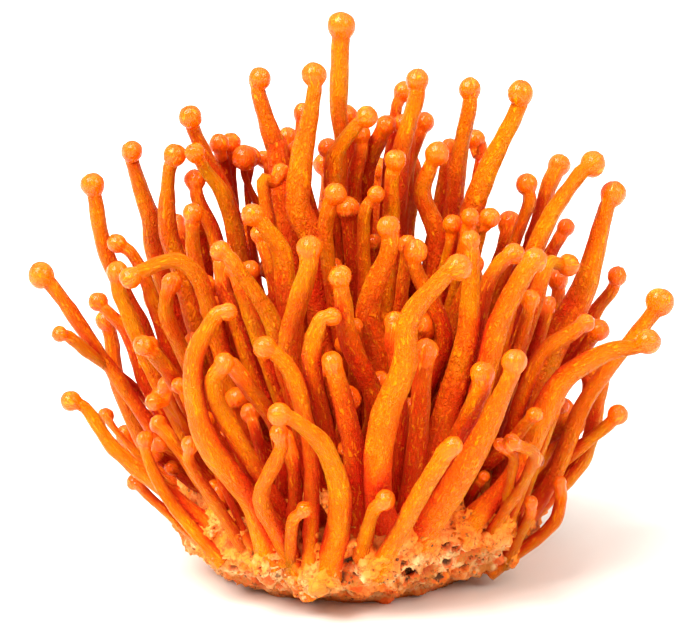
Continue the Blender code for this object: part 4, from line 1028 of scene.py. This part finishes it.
def keep_largest(mesh):
    """Leaves only the largest connected part of a mesh, without the loose specks of a remesh."""
    shape = bmesh.new()
    shape.from_mesh(mesh)
    seen, parts = set(), []
    for first in shape.verts:
        if first in seen:
            continue
        seen.add(first)
        part, ends = [first], [first]
        while ends:
            corner = ends.pop()
            for edge in corner.link_edges:
                other = edge.other_vert(corner)
                if other not in seen:
                    seen.add(other)
                    part.append(other)
                    ends.append(other)
        parts.append(part)
    parts.sort(key=len)
    specks = [corner for part in parts[:-1] for corner in part]
    bmesh.ops.delete(shape, geom=specks, context="VERTS")
    shape.to_mesh(mesh)
    shape.free()


def evaluated_mesh(context, piece):
    """The mesh of an object with its bevel or modifiers. The object is removed."""
    context.view_layer.update()
    view = context.evaluated_depsgraph_get()
    mesh = bpy.data.meshes.new_from_object(piece.evaluated_get(view), depsgraph=view)
    bpy.data.objects.remove(piece)
    return mesh


def fused(context, name, packed, lines, knobs, look):
    """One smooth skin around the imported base, the sleeves of the feet and the knobs."""
    sleeve_piece = curve_object(name + "_sleeves", lines)
    sleeve_piece.data.bevel_depth = 1.0
    sleeve_piece.data.bevel_resolution = 3
    sleeve_piece.data.use_fill_caps = True
    sleeve_mesh = evaluated_mesh(context, sleeve_piece)
    packed.from_mesh(sleeve_mesh)
    bpy.data.meshes.remove(sleeve_mesh)
    for place, size in knobs:
        ball = bmesh.ops.create_icosphere(packed, subdivisions=2, radius=size)["verts"]
        for corner in ball:
            corner.co += corner.co * 0.5 * noise.noise(corner.co / 0.0008 + place * 500) + place
    mesh = bpy.data.meshes.new(name)
    packed.to_mesh(mesh)
    piece = add_object(name, mesh)
    remesh = piece.modifiers.new("Skin", "REMESH")
    remesh.mode = "VOXEL"
    remesh.voxel_size = look.grain
    smooth = piece.modifiers.new("Softening", "SMOOTH")
    smooth.factor = 0.5
    smooth.iterations = look.softening
    skin = evaluated_mesh(context, piece)
    keep_largest(skin)
    return skin


def places_seen(tree, marks):
    """Where marks of the photograph lie on a skin, with their half widths."""
    found = []
    for across, down, size in marks:
        hit = tree.ray_cast(*picture_ray(across, down))[0]
        if hit is not None:
            found.append((hit, size * MM))
    return found


def random_pits(tree):
    """Pits at random places all round the base."""
    chance = random.Random(11)
    pits = []
    for _ in range(RANDOM_PITS):
        turn = chance.uniform(0, 2 * math.pi)
        way = direction(turn, chance.uniform(-0.3, 0.25))
        pits.append((tree.ray_cast(HEART + way * 0.1, -way)[0], chance.uniform(0.3, 0.9) * MM))
    return pits


def raise_skin(mesh, look, pits, knobs, lines):
    """Gives the skin its lumps, crumbs, creases and pits, and keeps on it where pits, feet and knobs lie."""
    pit_room = room_of([place for place, _ in pits])
    knob_room = room_of([place for place, _ in knobs])
    spots = []
    for line, radii in lines:
        spots.extend(zip(line, radii, np.linspace(1.0, 0.0, len(line))))
    foot_room = room_of([place for place, _, _ in spots])
    values = {"pit": [], "foot": [], "knob": [], "high": []}
    places = []
    for corner, side in zip(mesh.vertices, mesh.vertex_normals):
        place, way = corner.co.copy(), side.vector
        _, index, distance = foot_room.find(place)
        near = math.exp(-max(distance - spots[index][1] * 1.05, 0.0) / 0.0009)
        climb = near * clamped(spots[index][2] * 1.7 - 0.35)
        low = place / look.lump_size
        raised = look.lump_depth * (noise.noise(low) + 0.5 * noise.noise(low * 2.3)) * (1.0 - 0.7 * climb)
        raised += look.crumb_depth * noise.fractal(place / 0.0011, 0.9, 2.1, 3) * (1.0 - 0.6 * climb)
        raised -= look.crease_depth * max(0.0, 0.16 - abs(noise.noise(place / 0.0023 + low))) / 0.16
        sunk = 0.0
        for _, index, distance in pit_room.find_range(place, PIT_REACH):
            size = pits[index][1]
            rough = distance * (1.0 + 0.45 * noise.noise(place / 0.0007))
            sunk = max(sunk, 1.0 - clamped((rough - 0.45 * size) / (0.75 * size)))
        raised -= look.pit_depth * sunk
        _, index, distance = knob_room.find(place)
        flat = clamped(place.z / CUT_RISE)
        place += way * raised * flat
        place.z = max(place.z, 0.0)
        if corner.co.z < CUT_TOP:
            place.z = 0.0
        places.append(place)
        values["pit"].append(sunk * flat)
        values["foot"].append(climb)
        values["knob"].append(1.0 - clamped((distance / knobs[index][1] - 0.9) / 0.5))
        values["high"].append(clamped((place.z - 0.006) / 0.008))
    mesh.vertices.foreach_set("co", np.array(places).ravel())
    for name, numbers in values.items():
        mesh.attributes.new(name, "FLOAT", "POINT").data.foreach_set("value", numbers)
    mesh.shade_smooth()
    mesh.update()


class CORDYCEPS_OT_base(Operator):
    """Replaces the faceted base with a lumpy skin of mycelium that climbs the feet and sinks into pits"""

    bl_idname = "cordyceps.base"
    bl_label = "Dress the Mycelium Base"

    def execute(self, context):
        settings = context.scene.cordyceps
        look = settings.base
        tree, packed = base_skin()
        stalks = [stalk for entry in all_stalks().values() for stalk in entry]
        lines = sleeves(settings.stalks, stalks)
        knobs = [(Vector((place.x, place.y, max(place.z, size * 0.7))), size)
                 for place, size in places_seen(tree, KNOBS_SEEN)]
        mesh = fused(context, "mycelium", packed, lines, knobs, look)
        packed.free()
        skin = bmesh.new()
        skin.from_mesh(mesh)
        tree = BVHTree.FromBMesh(skin)
        skin.free()
        pits = places_seen(tree, PITS_SEEN) + random_pits(tree)
        raise_skin(mesh, look, pits, knobs, lines)
        # Openness of the skin, the mask of its painted shade between the feet.
        store_openness(mesh, bunch_skin(settings.stalks), 0.012, 0.0012)
        mesh.materials.clear()
        mesh.materials.append(mycelium_material("mycelium_skin", look))
        mesh.update()
        piece = add_object("mycelium", mesh)
        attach(piece, "root")
        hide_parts(BASE_NODE)
        return {"FINISHED"}


# The crumbs


def dark_shares(places, pit, foot):
    """Dark crumbs fill the pits, and a few lie anywhere but on the feet."""
    return np.clip(pit * 1.4, 0.02 * (foot < 0.5), 1.0) * (places[:, 2] > LOWEST_CRUMB)


def pale_shares(places, pit, foot):
    """Pale crumbs keep out of the pits and off the feet."""
    return 0.16 * (1.0 - pit) * (1.0 - foot) ** 2 * (places[:, 2] > LOWEST_CRUMB)


def strew(name, shares_of, tree, values):
    """Strews lumps over a copy of the mycelium, where shares_of(places, pit, foot) says how thickly."""
    mesh = bpy.data.objects["mycelium"].data.copy()
    pit = np.zeros(len(mesh.vertices))
    foot = np.zeros(len(mesh.vertices))
    mesh.attributes["pit"].data.foreach_get("value", pit)
    mesh.attributes["foot"].data.foreach_get("value", foot)
    places = np.zeros(len(mesh.vertices) * 3)
    mesh.vertices.foreach_get("co", places)
    shares = shares_of(places.reshape(-1, 3), pit, foot)
    mesh.attributes.new("strew", "FLOAT", "POINT").data.foreach_set("value", shares)
    piece = run_tree(add_object(name, mesh), tree, {**values, **CRUMB_SIZES})
    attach(piece, "root")


class CORDYCEPS_OT_grit(Operator):
    """Strews dark crumbs in and around the pits, and pale ones over the mycelium"""

    bl_idname = "cordyceps.grit"
    bl_label = "Strew the Crumbs"

    def execute(self, context):
        look = context.scene.cordyceps.base
        dark = crumb_material("dark_crumbs", look.dark, look.tan, 0.8)
        pale = crumb_material("pale_crumbs", look.orange, look.tan, 0.65)
        tree = strewn_tree("Crumbs", 1)
        strew("dark_grit", dark_shares, tree,
              {"Density": 4000000.0, "Spacing": 0.0005, "Seed": 5, "Material": dark})
        strew("pale_grit", pale_shares, tree,
              {"Density": 1500000.0, "Spacing": 0.0009, "Seed": 6, "Material": pale})
        return {"FINISHED"}


# The stage


def add_light(name, way, width, strength, colour):
    """A wide, soft sun that shines from a direction."""
    data = bpy.data.lights.new(name, "SUN")
    data.angle = math.radians(width)
    data.energy = strength
    data.color = colour
    lamp = add_object(name, data)
    lamp.location = way
    lamp.rotation_euler = (-Vector(way)).to_track_quat("-Z", "Y").to_euler()


def add_floor(radius):
    """The pale round floor."""
    shape = bmesh.new()
    bmesh.ops.create_circle(shape, cap_ends=True, segments=96, radius=radius)
    mesh = bpy.data.meshes.new("floor")
    shape.to_mesh(mesh)
    shape.free()
    mesh.materials.append(Shader("pale_floor").finish({"Base Color": FLOOR_GREY, "Roughness": 0.6}))
    floor = add_object("floor", mesh)


def add_camera(context):
    """The camera at the photograph's angle."""
    data = bpy.data.cameras.new("photo_camera")
    data.sensor_fit = "HORIZONTAL"
    data.angle = 2.0 * math.atan(PICTURE_STEP * PICTURE_WIDTH / 2 / VIEW_DISTANCE)
    camera = add_object("photo_camera", data)
    eye, ray = picture_ray(*PICTURE_MIDDLE)
    camera.location = eye
    camera.rotation_euler = ray.to_track_quat("-Z", "Y").to_euler()
    context.scene.camera = camera


class CORDYCEPS_OT_stage(Operator):
    """Sets the pale floor, the soft lights and the camera of the photograph"""

    bl_idname = "cordyceps.stage"
    bl_label = "Set the Stage"

    def execute(self, context):
        look = context.scene.cordyceps.stage
        add_floor(look.floor_radius)
        for name, way, width, setting, colour in LIGHTS:
            add_light(name, way, width, getattr(look, setting), colour)
        world = bpy.data.worlds.new("white_surround")
        world.use_nodes = True
        background = world.node_tree.nodes["Background"]
        background.inputs["Color"].default_value = SURROUND_TINT
        background.inputs["Strength"].default_value = look.sky
        context.scene.world = world
        context.scene.view_settings.view_transform = "Standard"
        add_camera(context)
        return {"FINISHED"}


class CORDYCEPS_PT_panel(Panel):
    """The steps that dress the bunch, in their order"""

    bl_label = "Cordyceps Bunch"
    bl_space_type = "VIEW_3D"
    bl_region_type = "UI"
    bl_category = "Cordyceps"

    def draw(self, context):
        for step in STEPS:
            self.layout.operator(step.bl_idname)


STEPS = (
    CORDYCEPS_OT_stage, CORDYCEPS_OT_stalks, CORDYCEPS_OT_young, CORDYCEPS_OT_base, CORDYCEPS_OT_grit,
)
GROUPS = (
    CordycepsStalkLook, CordycepsBaseLook, CordycepsYoungLook, CordycepsStageLook, CordycepsSettings,
)


def register():
    for entry in GROUPS + STEPS + (CORDYCEPS_PT_panel,):
        bpy.utils.register_class(entry)
    bpy.types.Scene.cordyceps = PointerProperty(type=CordycepsSettings)


def unregister():
    del bpy.types.Scene.cordyceps
    for entry in reversed(GROUPS + STEPS + (CORDYCEPS_PT_panel,)):
        bpy.utils.unregister_class(entry)


def main():
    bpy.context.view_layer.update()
    register()
    bpy.ops.cordyceps.stage()
    bpy.ops.cordyceps.stalks()
    bpy.ops.cordyceps.young()
    bpy.ops.cordyceps.base()
    bpy.ops.cordyceps.grit()


if __name__ == "__main__":
    main()
